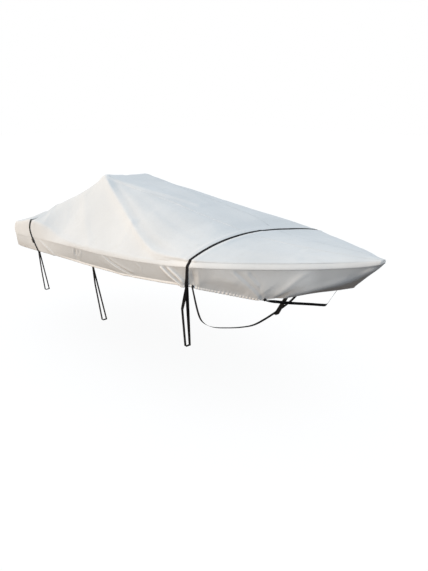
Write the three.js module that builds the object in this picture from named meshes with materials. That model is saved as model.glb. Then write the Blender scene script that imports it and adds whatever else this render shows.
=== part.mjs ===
import * as THREE from 'three';

// A fitted cover for a small open boat with a console, as it lies tied down over the boat.
// The shape is worked out in the boat's frame, in millimetres: X forward from the transom,
// Y to port, Z up from the ground. The whole group is then shifted, so that the origin lies
// under the cloth where it crosses the top of the console.

// ---- driving sizes ----
const CLOTH = 2;                 // thickness of the coated cloth with its seam laps
const SEAM_GAP = 0.5;            // play along a seam, measured in the cloth, to keep 0.3 across a fold
const CONSOLE_X = 980;           // ridge over the console, forward of the transom
const CONSOLE_Z = 1739;          // its height above the ground
const NOSE_X = 4284;             // the bow's blunt end
const NOSE_HALF = 28;            // half-width of the cloth over that end
const REAR_STRAP_X = 402;        // straps that cross the whole cover
const FRONT_STRAP_X = 3031;
const MID_TIE_X = 1620;          // tie-downs sewn inside the hem, by their place along the rub rail
const BELLY_STRAP_X = 3100;      // straps under the hull, by where they are sewn to the hem
const BOW_STRAP_X = 3815;
const WEB_WIDTH = 30;            // strap webbing
const WEB_THICK = 2;
const STRAP_LANE = WEB_WIDTH + 5;   // width of the flat lane of cloth under a strap
const STRAP_LIFT = 1;            // a strap's play over the cloth
const RAIL_WIDTH = 50;           // the trailer rail that each tie-down turns round, which is not built
const SEWN_END = 30;             // length of a strap's sewn end along the hem's cloth

// ---- short tables, one row for each cross-section ----
// Top of the cover, starboard half: height on the centre line, how square the crown is,
// the hip (the fold from the console's corner to the gunwale, or the edge of the aft slope),
// the knee (the gunwale's top edge) and the rub rail below it.
const SECTION_COLUMNS = [
  'x', 'crownZ', 'square', 'lean', 'hipY', 'hipZ', 'kneeY', 'kneeZ', 'wallX', 'railX', 'railY', 'railZ',
];
const SECTIONS = [
  [0, 1200, 2.0, 0, 868, 1192, 900, 1188, -28, -20, 898, 1052],
  [40, 1216, 2.0, 0, 850, 1203, 908, 1196, -28, 22, 908, 1055],
  [200, 1282, 2.2, 0, 775, 1255, 904, 1230, -32, 190, 906, 1066],
  [402, 1391, 2.6, 0, 648, 1371, 905, 1279, -38, 420, 907, 1083],
  [600, 1500, 3.0, 0, 524, 1484, 893, 1262, -15, 606, 906, 1096],
  [765, 1597, 4.0, 0, 420, 1582, 873, 1230, 0, 766, 904, 1105],
  [900, 1690, 5.0, 12, 336, 1674, 872, 1198, 0, 900, 903, 1113],
  [CONSOLE_X, CONSOLE_Z, 6.0, 20, 290, 1728, 878, 1180, 0, 980, 902, 1118],
  [1060, 1734, 5.5, 14, 314, 1716, 884, 1174, 0, 1060, 901, 1123],
  [1300, 1706, 4.6, 6, 399, 1646, 897, 1172, 0, 1300, 899, 1137],
  [1650, 1669, 4.2, 0, 523, 1550, 890, 1188, 0, 1650, 892, 1152],
  [2000, 1626, 3.2, 0, 647, 1447, 881, 1211, 0, 2000, 883, 1175],
  [2300, 1584, 2.9, 0, 748, 1367, 870, 1235, 0, 2300, 872, 1199],
  [2600, 1537, 2.8, 0, 816, 1316, 856, 1269, 0, 2600, 858, 1231],
  [2820, 1504, 2.7, 6, 828, 1322, 846, 1296, 0, 2820, 848, 1257],
  [3031, 1464, 2.5, 17, 817, 1341, 832, 1327, 0, 3025, 834, 1286],
  [3300, 1447, 2.4, 10, 710, 1357, 726, 1350, 0, 3300, 728, 1310],
  [3600, 1445, 2.3, 5, 536, 1381, 551, 1374, 0, 3600, 552, 1334],
  [3850, 1446, 2.2, 3, 360, 1402, 374, 1395, 0, 3850, 374, 1356],
  [4050, 1448, 2.2, 1, 199, 1420, 212, 1414, 0, 4049, 212, 1376],
  [4200, 1450, 2.0, 0, 80, 1438, 92, 1433, 0, 4198, 92, 1398],
  [NOSE_X, 1452, 2.0, 0, NOSE_HALF - 2, 1450, NOSE_HALF, 1447, 0, NOSE_X - 3, NOSE_HALF, 1420],
];

// Hem of the skirt below each place along the rub rail: towards the bow the cloth is drawn
// aft and under the flare, and its last row is the seam down the stem.
const HEM_COLUMNS = ['x', 'hemX', 'hemY', 'hemZ', 'belly'];
const HEM_ROWS = [
  [0, 18, 893, 922, 4],
  [60, 90, 898, 923, 3],
  [402, 508, 888, 937, 2],
  [980, 1000, 880, 966, 6],
  [1620, 1620, 872, 993, 8],
  [2200, 2200, 857, 1028, 8],
  [2700, 2684, 838, 1076, 6],
  [3031, 2995, 815, 1108, 3],
  [3408, 3264, 680, 1086, 10],
  [3650, 3463, 570, 1069, 16],
  [3800, 3559, 520, 1074, 22],
  [3927, 3655, 460, 1099, 26],
  [4060, 3784, 330, 1127, 34],
  [4150, 3887, 220, 1151, 34],
  [4230, 3979, 90, 1163, 26],
  [NOSE_X, 4035, 0, 1173, 0],
];

// Seams of the centre panel: half-width along the boat.
const SEAM_COLUMNS = ['x', 'y'];
const SEAM_ROWS = [[0, 255], [980, 255], [2000, 215], [3031, 165], [4050, 70], [NOSE_X, 5]];

// Soft folds of the skirt: from (x0, t0) to (x1, t1), where x runs along the rub rail and t
// from the rub rail (0) to the hem (1), with the half-width of each and its height.
const SKIRT_FOLD_COLUMNS = ['x0', 't0', 'x1', 't1', 'width', 'height'];
const SKIRT_FOLDS = [
  [560, 0.0, 800, 1.0, 45, 7],
  [1340, 0.0, 1360, 0.6, 40, -8],
  [1430, 0.0, 1400, 0.5, 35, 7],
  [1760, 0.05, 2150, 0.95, 45, 9],
  [2660, 0.0, 2990, 0.85, 42, 12],
  [2790, 0.05, 3000, 0.95, 40, 9],
  [3120, 0.1, 3075, 1.0, 45, -10],
  [3290, 0.0, 3760, 0.95, 45, 11],
  [3460, 0.0, 3730, 0.6, 42, 8],
];

// Soft folds of the top: from (x0, y0) to (x1, y1) in plan on the starboard side.
const TOP_FOLD_COLUMNS = ['x0', 'y0', 'x1', 'y1', 'width', 'height'];
const TOP_FOLDS = [
  [1000, 240, 2250, 30, 70, 9],
  [780, 430, 1500, 860, 90, 9],
  [1020, 270, 2000, 640, 60, 10],
  [2000, 640, 2900, 810, 60, 7],
  [1300, 300, 2800, 560, 90, -7],
];

const PORT_SHARE = 0.7;          // the port side hangs a little smoother than the starboard side

const COLOURS = { cloth: '#d9dad8', skirt: '#cfccc8', webbing: '#16171a', buckle: '#101113' };

// ---- numbers along the tables ----
const column = (columns, name) => columns.indexOf(name);

// Slope at a table row that never overshoots its neighbours.
function rowSlope(rows, i, x, y) {
  if (i === 0 || i === rows.length - 1) return 0;
  const before = (rows[i][y] - rows[i - 1][y]) / (rows[i][x] - rows[i - 1][x]);
  const after = (rows[i + 1][y] - rows[i][y]) / (rows[i + 1][x] - rows[i][x]);
  return before * after <= 0 ? 0 : 2 * before * after / (before + after);
}

// Smooth value of one named column at a place along the boat.
function valueAt(columns, rows, name, place) {
  const x = 0;
  const y = column(columns, name);
  const last = rows.length - 1;
  if (place <= rows[0][x]) return rows[0][y];
  if (place >= rows[last][x]) return rows[last][y];
  const i = rows.findIndex((row) => row[x] > place) - 1;
  const span = rows[i + 1][x] - rows[i][x];
  const t = (place - rows[i][x]) / span;
  const rise = rows[i + 1][y] - rows[i][y];
  const m0 = i === 0 ? rise / span : rowSlope(rows, i, x, y);
  const m1 = i + 1 === last ? rise / span : rowSlope(rows, i + 1, x, y);
  const t2 = t * t;
  const t3 = t2 * t;
  return rows[i][y] * (2 * t3 - 3 * t2 + 1) + span * m0 * (t3 - 2 * t2 + t)
    + rows[i + 1][y] * (3 * t2 - 2 * t3) + span * m1 * (t3 - t2);
}

const section = (name, x) => valueAt(SECTION_COLUMNS, SECTIONS, name, x);
const hemRow = (name, x) => valueAt(HEM_COLUMNS, HEM_ROWS, name, x);
const seamHalf = (x) => valueAt(SEAM_COLUMNS, SEAM_ROWS, 'y', x);

// Height of a soft fold at a point: a rounded ridge along one line.
function foldHeight(folds, px, py, scaleY) {
  let height = 0;
  for (const [x0, y0, x1, y1, width, rise] of folds) {
    const dx = x1 - x0;
    const dy = (y1 - y0) * scaleY;
    const along = ((px - x0) * dx + (py - y0) * scaleY * dy) / (dx * dx + dy * dy);
    const t = Math.min(1, Math.max(0, along));
    const away = Math.hypot(px - x0 - t * dx, (py - y0) * scaleY - t * dy);
    height += rise * Math.exp(-((away / width) ** 2));
  }
  return height;
}

// ---- rows and columns of cloth ----
// Places of the rows along the boat: the tables' own rows, a lane of flat cloth under each
// strap, and more rows between wherever two are far apart.
const LONGEST_ROW = 118;
const RIDGE_ROUND = 22;          // half-length of the rounding over the console's ridge
const STERN_ROUND = 12;          // length of the rounding at the transom's top edge
function rowPlaces() {
  const lanes = [REAR_STRAP_X, MID_TIE_X, FRONT_STRAP_X, BELLY_STRAP_X, BOW_STRAP_X];
  const half = STRAP_LANE / 2;
  const keys = SECTIONS.map((row) => row[0]).filter((x) => lanes.every((lane) => Math.abs(x - lane) > half));
  lanes.forEach((lane) => keys.push(lane - half, lane + half));
  keys.push(CONSOLE_X - RIDGE_ROUND, CONSOLE_X + RIDGE_ROUND, STERN_ROUND);
  keys.sort((a, b) => a - b);
  const places = [keys[0]];
  for (let i = 1; i < keys.length; i += 1) {
    const steps = Math.ceil((keys[i] - keys[i - 1]) / LONGEST_ROW);
    for (let k = 1; k <= steps; k += 1) places.push(keys[i - 1] + (keys[i] - keys[i - 1]) * k / steps);
  }
  return places;
}
const PLACES = rowPlaces();

const CROWN_STEPS = [0, 0.5, 1];                     // centre line to seam
const SHOULDER_STEPS = [0.25, 0.5, 0.75, 1];         // seam to hip
const DRAPE_STEPS = [0.22, 0.46, 0.73, 1];         // hip to knee
const WALL_STEPS = [0.5, 1];                         // knee to rub rail
const SKIRT_STEPS = [0.3, 0.6, 0.84, 1];             // rub rail to hem
const DRAPE_SAG = 0.014;                             // of the drape's own length

// Height that the crown gains at a point for leaning to starboard (or to port, below zero).
function lean(x, y) {
  const share = y / section('kneeY', x);
  return -2.6 * section('lean', x) * share * (1 - share * share);
}

// A point on the crown, y from the centre line, between centre line and hip.
function crownPoint(x, y) {
  const drop = section('crownZ', x) - section('hipZ', x);
  const share = Math.min(1, y / section('hipY', x));
  return new THREE.Vector3(x, y, section('crownZ', x) - drop * share ** section('square', x));
}

// One row of the top on one side, from the centre line out to the rub rail.
function topRow(x, side) {
  const seamShare = Math.min(0.86, seamHalf(x) / section('hipY', x));
  const shares = CROWN_STEPS.map((s) => s * seamShare);
  SHOULDER_STEPS.forEach((s) => shares.push(seamShare + (1 - seamShare) * s));
  const row = shares.map((share) => {
    const y = share * section('hipY', x);
    const point = crownPoint(x, y);
    point.z += lean(x, side * y) + (side < 0 ? 1 : PORT_SHARE) * foldHeight(TOP_FOLDS, x, y, 1);
    return point;
  });
  const hip = row[row.length - 1].clone();
  const knee = new THREE.Vector3(x, section('kneeY', x), section('kneeZ', x));
  const length = hip.distanceTo(knee);
  DRAPE_STEPS.forEach((s) => {
    const point = hip.clone().lerp(knee, s);
    const slack = 4 * s * (1 - s);
    point.z -= slack * length * DRAPE_SAG;
    point.y -= slack * length * DRAPE_SAG;
    const fold = foldHeight(TOP_FOLDS, point.x, point.y, 1);
    point.z += (1 - s) * (side < 0 ? 1 : PORT_SHARE) * fold;
    row.push(point);
  });
  const rail = new THREE.Vector3(section('railX', x), section('railY', x), section('railZ', x));
  const wall = WALL_STEPS.map((s) => knee.clone().lerp(rail, s));
  wall[0].x += section('wallX', x);
  row.push(...wall);
  row.forEach((point) => { point.y *= side; });
  return row;
}

// One row of the skirt on one side, from the rub rail down to the hem.
function skirtRow(x, side, rail) {
  const hem = new THREE.Vector3(hemRow('hemX', x), side * hemRow('hemY', x), hemRow('hemZ', x));
  const out = new THREE.Vector3(0.25, side * 0.9, -0.35).normalize();
  return [rail.clone(), ...SKIRT_STEPS.map((t) => {
    const point = rail.clone().lerp(hem, t);
    const flat = 1 - Math.max(0, (x - 4150) / (NOSE_X - 4150)) ** 2;
    const fold = foldHeight(SKIRT_FOLDS, x, t, 200) * (side < 0 ? 1 : PORT_SHARE) * Math.min(1, t * 2.2);
    return point.addScaledVector(out, flat * (hemRow('belly', x) * Math.sin(Math.PI * t ** 1.4) + fold));
  })];
}

// ---- the cover as one surface of cells ----
const HIP = CROWN_STEPS.length - 1 + SHOULDER_STEPS.length;
const SEAM = CROWN_STEPS.length - 1;
const KNEE = HIP + DRAPE_STEPS.length;
const RAIL = KNEE + WALL_STEPS.length;

// Every point of the surface is kept once, so that neighbouring panels share its normal.
class Surface {
  constructor() {
    this.points = [];
    this.normals = [];
    this.index = new Map();
    this.panels = new Map();
  }

  add(point) {
    const key = point.toArray().map((v) => Math.round(v * 1000)).join(',');
    if (!this.index.has(key)) {
      this.index.set(key, this.points.length);
      this.points.push(point.clone());
      this.normals.push(new THREE.Vector3());
    }
    return this.index.get(key);
  }

  // A four-cornered cell, its corners in turn anticlockwise as seen from outside.
  cell(panel, corners) {
    const ids = corners.map((point) => this.add(point)).filter((id, i, all) => all.indexOf(id) === i);
    if (ids.length < 3) return;
    if (!this.panels.has(panel)) this.panels.set(panel, []);
    this.panels.get(panel).push(ids);
    const normal = this.faceNormal(ids);
    ids.forEach((id) => this.normals[id].add(normal));
  }

  faceNormal(ids) {
    const [a, b, c, d = ids[2]] = ids;
    const across = this.points[c].clone().sub(this.points[a]);
    const along = this.points[d].clone().sub(this.points[b]);
    return across.cross(along).normalize();
  }

  grid(panelOf, rows) {
    for (let i = 0; i + 1 < rows.length; i += 1) {
      for (let k = 0; k + 1 < rows[i].length; k += 1) {
        const panel = panelOf(i, k);
        if (panel) this.cell(panel, [rows[i][k], rows[i + 1][k], rows[i + 1][k + 1], rows[i][k + 1]]);
      }
    }
  }
}

// A closed solid from triangles and their points.
function solid(points, triangles) {
  const geometry = new THREE.BufferGeometry();
  geometry.setAttribute('position', new THREE.Float32BufferAttribute(points.flatMap((p) => p.toArray()), 3));
  geometry.setIndex(triangles.flat());
  geometry.computeVertexNormals();
  return geometry;
}

// Directions into a panel across its free edges, for each point on its outline.
function outlineInsets(surface, cells) {
  const edges = new Map();
  cells.forEach((ids) => ids.forEach((a, i) => {
    edges.set(`${a},${ids[(i + 1) % ids.length]}`, ids);
  }));
  const insets = new Map();
  const free = [];
  edges.forEach((ids, key) => {
    const [a, b] = key.split(',').map(Number);
    if (edges.has(`${b},${a}`)) return;
    free.push([a, b]);
    const along = surface.points[b].clone().sub(surface.points[a]).normalize();
    const inward = surface.faceNormal(ids).cross(along).normalize();
    [a, b].forEach((id) => insets.set(id, [...(insets.get(id) ?? []), inward]));
  });
  return { insets, free };
}

// One panel of cloth: its cells on the outside, the same cells a cloth's thickness further in,
// and a wall round its outline, drawn in by half the play.
function panelSolid(surface, name) {
  const cells = surface.panels.get(name);
  const { insets, free } = outlineInsets(surface, cells);
  const own = new Map();
  cells.forEach((ids) => {
    const normal = surface.faceNormal(ids);
    ids.forEach((id) => own.set(id, (own.get(id) ?? new THREE.Vector3()).add(normal)));
  });
  const ids = [...own.keys()];
  const place = new Map(ids.map((id, i) => [id, i]));
  const outer = ids.map((id) => {
    const point = surface.points[id].clone();
    const ways = insets.get(id) ?? [];
    if (ways.length === 0) return point;
    const sum = ways.reduce((total, way) => total.add(way), new THREE.Vector3());
    const open = 1 + (ways.length > 1 ? Math.max(-0.5, ways[0].dot(ways[1])) : 0);
    return point.addScaledVector(sum, SEAM_GAP / 2 / open);
  });
  const inner = ids.map((id, i) => {
    const shared = surface.normals[id].clone().normalize();
    const depth = CLOTH / Math.max(0.5, shared.dot(own.get(id).clone().normalize()));
    return outer[i].clone().addScaledVector(shared, -depth);
  });
  const count = ids.length;
  const triangles = [];
  cells.forEach((cell) => {
    const [a, b, c, d] = cell.map((id) => place.get(id));
    triangles.push([a, b, c], [a + count, c + count, b + count]);
    if (d !== undefined) triangles.push([a, c, d], [a + count, d + count, c + count]);
  });
  free.forEach(([from, to]) => {
    const [a, b] = [place.get(from), place.get(to)];
    triangles.push([a, a + count, b + count], [a, b + count, b]);
  });
  return solid([...outer, ...inner], triangles);
}

function coverSurface() {
  const surface = new Surface();
  const stations = PLACES.map((x) => ({ x, starboard: topRow(x, -1), port: topRow(x, 1) }));
  const across = stations.map((row) => [...row.starboard.slice().reverse(), ...row.port.slice(1)]);

  // The top: centre panel between the seams, and a side panel from each seam to the rub rail.
  const panelAcross = (k) => {
    const fromCentre = k < RAIL ? RAIL - k : k - RAIL + 1;
    if (fromCentre <= SEAM) return 'centre_panel';
    return k < RAIL ? 'starboard_side_panel' : 'port_side_panel';
  };
  surface.grid((i, k) => panelAcross(k), across);

  // The nose: the panels' ends turn down over the blunt bow.
  const bow = stations[stations.length - 1];
  const end = across[across.length - 1].slice(RAIL - KNEE, RAIL + KNEE + 1);
  const foot = bow.starboard[RAIL];
  const noseRows = [end, ...WALL_STEPS.map((share, j) => end.map((point, k) => {
    if (k === 0) return bow.starboard[KNEE + 1 + j];
    if (k === end.length - 1) return bow.port[KNEE + 1 + j];
    return new THREE.Vector3(point.x + (foot.x - point.x) * share, point.y, point.z + (foot.z - point.z) * share);
  }))];
  surface.grid((i, k) => panelAcross(k + RAIL - KNEE), noseRows);

  // The skirts: from the rub rail to the hem, round to the seam down the stem.
  const skirts = {};
  [['starboard_skirt', -1, 'starboard'], ['port_skirt', 1, 'port']].forEach(([name, side, key]) => {
    const rows = stations.map((row) => skirtRow(row.x, side, row[key][RAIL]));
    const edge = noseRows[noseRows.length - 1];
    const half = (edge.length - 1) / 2;
    const round = side < 0 ? edge.slice(1, half + 1) : edge.slice(half, -1).reverse();
    const stemRow = skirtRow(NOSE_X, side, round[half - 1]);
    round.forEach((rail, k) => {
      const share = (k + 1) / half;
      const last = rows[stations.length - 1];
      rows.push([rail, ...last.slice(1).map((point, j) => point.clone().lerp(stemRow[j + 1], share))]);
    });
    rows[rows.length - 1].forEach((point, j) => { if (j > 0) point.y = 0; });
    skirts[key] = rows;
    surface.grid(() => name, side < 0 ? rows.map((row) => row.slice().reverse()) : rows);
  });

  // The transom panel: from the top's aft edge down to the hem.
  const edge = across[0].slice(RAIL - KNEE, RAIL + KNEE + 1);
  const corner = [...stations[0].starboard.slice(KNEE, RAIL), ...skirts.starboard[0]];
  const cornerPort = [...stations[0].port.slice(KNEE, RAIL), ...skirts.port[0]];
  const transomRows = corner.map((point, j) => edge.map((top, k) => {
    if (k === 0) return point;
    if (k === edge.length - 1) return cornerPort[j];
    if (j === 0) return top;
    const share = (corner[0].z - point.z) / (corner[0].z - corner[corner.length - 1].z);
    const spread = point.y / corner[0].y;
    const z = top.z + (corner[corner.length - 1].z - 2 - top.z) * share;
    return new THREE.Vector3(point.x, top.y * spread, z);
  }));
  surface.grid(() => 'transom_panel', transomRows.reverse());
  return { surface, across, skirts };
}

// ---- webbing ----
// A flat band along a line of points, each with the direction of the band's width there.
function bandSolid({ points, widths }) {
  const rings = points.map((point, i) => {
    const before = points[Math.max(0, i - 1)];
    const after = points[Math.min(points.length - 1, i + 1)];
    const ahead = (i + 1 < points.length ? after : point).clone().sub(i + 1 < points.length ? point : before);
    const tangent = after.clone().sub(point).normalize().add(point.clone().sub(before).normalize()).normalize();
    const out = widths[i].clone().cross(tangent).normalize();
    const mitre = 1 / Math.max(0.6, ahead.normalize().dot(tangent));
    return [[-1, -1], [-1, 1], [1, 1], [1, -1]].map(([w, t]) => point.clone()
      .addScaledVector(widths[i], w * WEB_WIDTH / 2).addScaledVector(out, t * mitre * WEB_THICK / 2));
  });
  const triangles = [];
  const quad = (a, b, c, d) => triangles.push([a, b, d], [b, c, d]);
  for (let i = 0; i + 1 < rings.length; i += 1) {
    for (let k = 0; k < 4; k += 1) {
      const next = (k + 1) % 4;
      quad(4 * i + k, 4 * i + next, 4 * i + 4 + next, 4 * i + 4 + k);
    }
  }
  const last = 4 * (rings.length - 1);
  quad(3, 2, 1, 0);
  quad(last, last + 1, last + 2, last + 3);
  return solid(rings.flat(), triangles);
}

const joined = (...bands) => ({
  points: bands.flatMap((band) => band.points),
  widths: bands.flatMap((band) => band.widths),
});
const backwards = (band) => ({ points: band.points.slice().reverse(), widths: band.widths.slice().reverse() });
const plainBand = (points, width) => ({ points, widths: points.map(() => width) });

// The middle line of a lane of cloth, lifted off it.
function laneOf(lineOf, place, lift) {
  const row = PLACES.findIndex((x) => Math.abs(x - (place - STRAP_LANE / 2)) < 1e-6);
  const aft = lineOf(row);
  const fore = lineOf(row + 1);
  const middle = aft.map((point, k) => point.clone().lerp(fore[k], 0.5));
  const widths = aft.map((point, k) => fore[k].clone().sub(point).normalize());
  const faces = middle.slice(1).map((point, k) => widths[k].clone().add(widths[k + 1])
    .cross(point.clone().sub(middle[k])).normalize());
  const points = middle.map((point, k) => {
    const before = faces[Math.max(0, k - 1)];
    const after = faces[Math.min(faces.length - 1, k)];
    const normal = before.clone().add(after).normalize();
    return point.clone().addScaledVector(normal, lift / normal.dot(after));
  });
  return { points, widths };
}

const overLane = (cover, place) => laneOf((i) => [
  ...cover.skirts.starboard[i].slice(1).reverse(), ...cover.across[i], ...cover.skirts.port[i].slice(1),
], place, STRAP_LIFT + WEB_THICK / 2);

// The lane down a skirt, from the rub rail to the hem: on the outside, or inside the cloth.
function skirtLane(cover, place, side, away = STRAP_LIFT + WEB_THICK / 2) {
  return laneOf((i) => cover.skirts[side < 0 ? 'starboard' : 'port'][i], place, side * away);
}
const INSIDE = -(CLOTH + STRAP_LIFT + WEB_THICK / 2);

// The end of a band that is sewn to the cloth, and then stands a little below the hem.
function sewnEnd(cover, place, side, away, below) {
  const { points, widths } = skirtLane(cover, place, side, away);
  const foot = points[points.length - 1];
  const up = points[points.length - 2].clone().sub(foot).normalize();
  const line = [SEWN_END, 0, -below].map((rise) => foot.clone().addScaledVector(up, rise));
  return plainBand(line, widths[widths.length - 1]);
}

// Points of a line with its tight corners rounded.
function rounded(points, radius, steps = 3) {
  return points.flatMap((corner, i) => {
    if (i === 0 || i === points.length - 1) return [corner];
    const back = points[i - 1].clone().sub(corner).normalize();
    const away = points[i + 1].clone().sub(corner).normalize();
    const bend = back.angleTo(away);
    if (bend > 2.6) return [corner];
    const reach = radius / Math.tan(bend / 2);
    const from = corner.clone().addScaledVector(back, reach);
    const to = corner.clone().addScaledVector(away, reach);
    return Array.from({ length: steps + 1 }, (_, k) => from.clone().lerp(corner, k / steps)
      .lerp(corner.clone().lerp(to, k / steps), k / steps));
  });
}

// Tie-downs: the strand outside goes from the hem, by way of its waist, to the outer lower edge
// of the trailer's rail, then under the rail and straight back up inside the hem.
const TIE_COLUMNS = ['place', 'waistX', 'waistY', 'waistZ', 'railX', 'railY', 'railZ'];
const TIES = {
  rear: [REAR_STRAP_X, 434, 838, 684, 360, 780, 427],
  mid: [MID_TIE_X, 1580, 833, 800, 1520, 740, 372],
  front: [FRONT_STRAP_X, 2876, 772, 873, 2725, 620, 435],
};
const TIE_CORNER = 7;            // radius of the webbing round the rail's edges
const INNER_STRAND = 4;          // how far the inner strand's end lies inside the outer's
const FORWARD = new THREE.Vector3(1, 0, 0);

function tieBand(cover, name, side) {
  const tie = (key) => TIES[name][column(TIE_COLUMNS, key)];
  const outer = new THREE.Vector3(tie('railX'), side * tie('railY'), tie('railZ'));
  const inner = outer.clone().setY(side * (tie('railY') - RAIL_WIDTH));
  const waist = new THREE.Vector3(tie('waistX'), side * tie('waistY'), tie('waistZ'));
  const end = sewnEnd(cover, tie('place'), side, INSIDE - INNER_STRAND, 6);
  const start = name === 'mid' ? sewnEnd(cover, tie('place'), side, INSIDE, 6)
    : plainBand([sewnEnd(cover, tie('place'), side, STRAP_LIFT + WEB_THICK / 2, 4).points[2]], end.widths[0]);
  const strand = [start.points[start.points.length - 1], waist, outer, inner, end.points[2]];
  return joined(start, plainBand(rounded(strand, TIE_CORNER).slice(1, -1), FORWARD), backwards(end));
}

// A strap over the whole cover with its tie-down at both ends, in one length.
function overStrap(cover, name) {
  const over = overLane(cover, TIES[name][0]);
  return joined(backwards(tieBand(cover, name, -1)), over, tieBand(cover, name, 1));
}

// Straps under the hull: half of each route, from below the hem to the keel or stem.
const BELLY_ROUTE = [[2998, 702, 864], [2988, 640, 752], [2983, 520, 672], [2980, 340, 615], [2978, 160, 572]];
const BELLY_KEEL = [2978, 0, 552];
const BOW_ROUTE = [[3676, 330, 1034], [3738, 160, 1000], [3778, 40, 974]];
const BOW_STEM = [3788, 0, 967];
const BOW_SLANT = new THREE.Vector3(0.8, 0, 0.6);

function underStrap(cover, place, halfRoute, keel, across) {
  const ends = [-1, 1].map((side) => sewnEnd(cover, place, side, STRAP_LIFT + WEB_THICK / 2, 4));
  const half = (side) => halfRoute.map(([x, y, z]) => new THREE.Vector3(x, side * y, z));
  const keys = [ends[0].points[2], ...half(-1), new THREE.Vector3(...keel), ...half(1).reverse(), ends[1].points[2]];
  const points = new THREE.CatmullRomCurve3(keys, false, 'centripetal').getSpacedPoints(32);
  const widths = points.map((_, i) => {
    const near = ends[i < points.length / 2 ? 0 : 1].widths[0];
    return near.clone().lerp(across, Math.min(1, i / 6, (points.length - 1 - i) / 6)).normalize();
  });
  const start = { points: ends[0].points.slice(0, 2), widths: ends[0].widths.slice(0, 2) };
  const end = { points: ends[1].points.slice(0, 2), widths: ends[1].widths.slice(0, 2) };
  return joined(start, { points, widths }, backwards(end));
}

// The rear strap's buckle, a channel that straddles the webbing just below the rub rail.
const BUCKLE = { width: 41, length: 50, rise: 9, cheek: 4, play: 1.4 };

function buckle(cover) {
  const { points, widths } = skirtLane(cover, REAR_STRAP_X, -1, STRAP_LIFT + WEB_THICK);
  const along = points[2].clone().sub(points[0]).normalize();
  const across = widths[1].clone().addScaledVector(along, -widths[1].dot(along)).normalize();
  const out = along.clone().cross(across).normalize();
  const w = BUCKLE.width / 2;
  const inner = w - BUCKLE.cheek;
  const low = -WEB_THICK / 2;
  const profile = new THREE.Shape([
    [-w, low], [-inner, low], [-inner, BUCKLE.play], [inner, BUCKLE.play], [inner, low], [w, low],
    [w, BUCKLE.rise - 3], [w - 3, BUCKLE.rise], [3 - w, BUCKLE.rise], [-w, BUCKLE.rise - 3],
  ].map(([a, b]) => new THREE.Vector2(a, b)));
  const geometry = new THREE.ExtrudeGeometry(profile, { depth: BUCKLE.length, bevelEnabled: false });
  geometry.translate(0, 0, -BUCKLE.length / 2);
  geometry.applyMatrix4(new THREE.Matrix4().makeBasis(across, out, across.clone().cross(out)).setPosition(points[1]));
  return geometry;
}

// ---- the pieces ----
const finish = (color, roughness) => new THREE.MeshStandardMaterial({ color, roughness, metalness: 0 });
const MATERIALS = {
  cloth: finish(COLOURS.cloth, 0.82),
  skirt: finish(COLOURS.skirt, 0.82),
  webbing: finish(COLOURS.webbing, 0.7),
  buckle: finish(COLOURS.buckle, 0.45),
};

function build() {
  const group = new THREE.Group();
  const put = (name, geometry, material) => {
    const mesh = new THREE.Mesh(geometry, MATERIALS[material]);
    mesh.name = name;
    group.add(mesh);
  };
  const cover = coverSurface();
  [...cover.surface.panels.keys()].forEach((name) => {
    put(name, panelSolid(cover.surface, name), /skirt|transom/.test(name) ? 'skirt' : 'cloth');
  });
  put('rear_strap', bandSolid(overStrap(cover, 'rear')), 'webbing');
  put('front_strap', bandSolid(overStrap(cover, 'front')), 'webbing');
  put('rear_buckle', buckle(cover), 'buckle');
  put('starboard_mid_tie', bandSolid(tieBand(cover, 'mid', -1)), 'webbing');
  put('port_mid_tie', bandSolid(tieBand(cover, 'mid', 1)), 'webbing');
  put('belly_strap', bandSolid(underStrap(cover, BELLY_STRAP_X, BELLY_ROUTE, BELLY_KEEL, FORWARD)), 'webbing');
  put('bow_strap', bandSolid(underStrap(cover, BOW_STRAP_X, BOW_ROUTE, BOW_STEM, BOW_SLANT)), 'webbing');
  return group;
}

const group = build();
group.position.set(-CONSOLE_X, 0, CLOTH - CONSOLE_Z);
export default group;
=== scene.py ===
"""A fitted cover for a small open boat with a console, as it lies tied down over the boat.

The cover's shape is worked out in the boat's frame, in millimetres: X forward from the
transom, Y to port, Z up from the ground. metres() turns such places into the model's frame,
whose origin lies under the cloth at the console's ridge.
"""

import math

import bmesh
import bpy
import numpy as np
from mathutils import Matrix, Vector, noise


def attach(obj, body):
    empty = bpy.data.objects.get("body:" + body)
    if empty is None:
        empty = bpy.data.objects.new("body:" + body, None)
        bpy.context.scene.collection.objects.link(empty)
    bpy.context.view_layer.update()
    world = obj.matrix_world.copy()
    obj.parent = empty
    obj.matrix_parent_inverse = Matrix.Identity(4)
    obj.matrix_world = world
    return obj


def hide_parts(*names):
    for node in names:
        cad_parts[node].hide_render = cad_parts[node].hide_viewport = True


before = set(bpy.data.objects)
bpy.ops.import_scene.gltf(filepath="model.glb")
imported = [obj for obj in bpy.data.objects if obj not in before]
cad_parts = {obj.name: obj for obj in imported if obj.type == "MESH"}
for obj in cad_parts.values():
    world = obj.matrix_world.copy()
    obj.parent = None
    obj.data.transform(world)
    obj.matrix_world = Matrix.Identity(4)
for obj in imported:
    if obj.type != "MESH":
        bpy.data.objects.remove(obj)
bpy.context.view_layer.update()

# ---- driving sizes, in millimetres ----
CLOTH = 2.0  # the model's cloth, whose inner face carries the origin
WEAVE = 1.1  # thickness of the cloth that is made here
CONSOLE_X, CONSOLE_Z = 980.0, 1739.0
NOSE_X, NOSE_HALF = 4284.0, 28.0
NOSE_PAINTED_LIGHT = 1.0  # painted highlight: the blunt nose is painted pale all over
# How far forward each over-strap slips, on the starboard and on the port side:
STRAP_SLIP = {"rear": (-16.0, -16.0), "front": (24.0, 46.0)}
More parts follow.
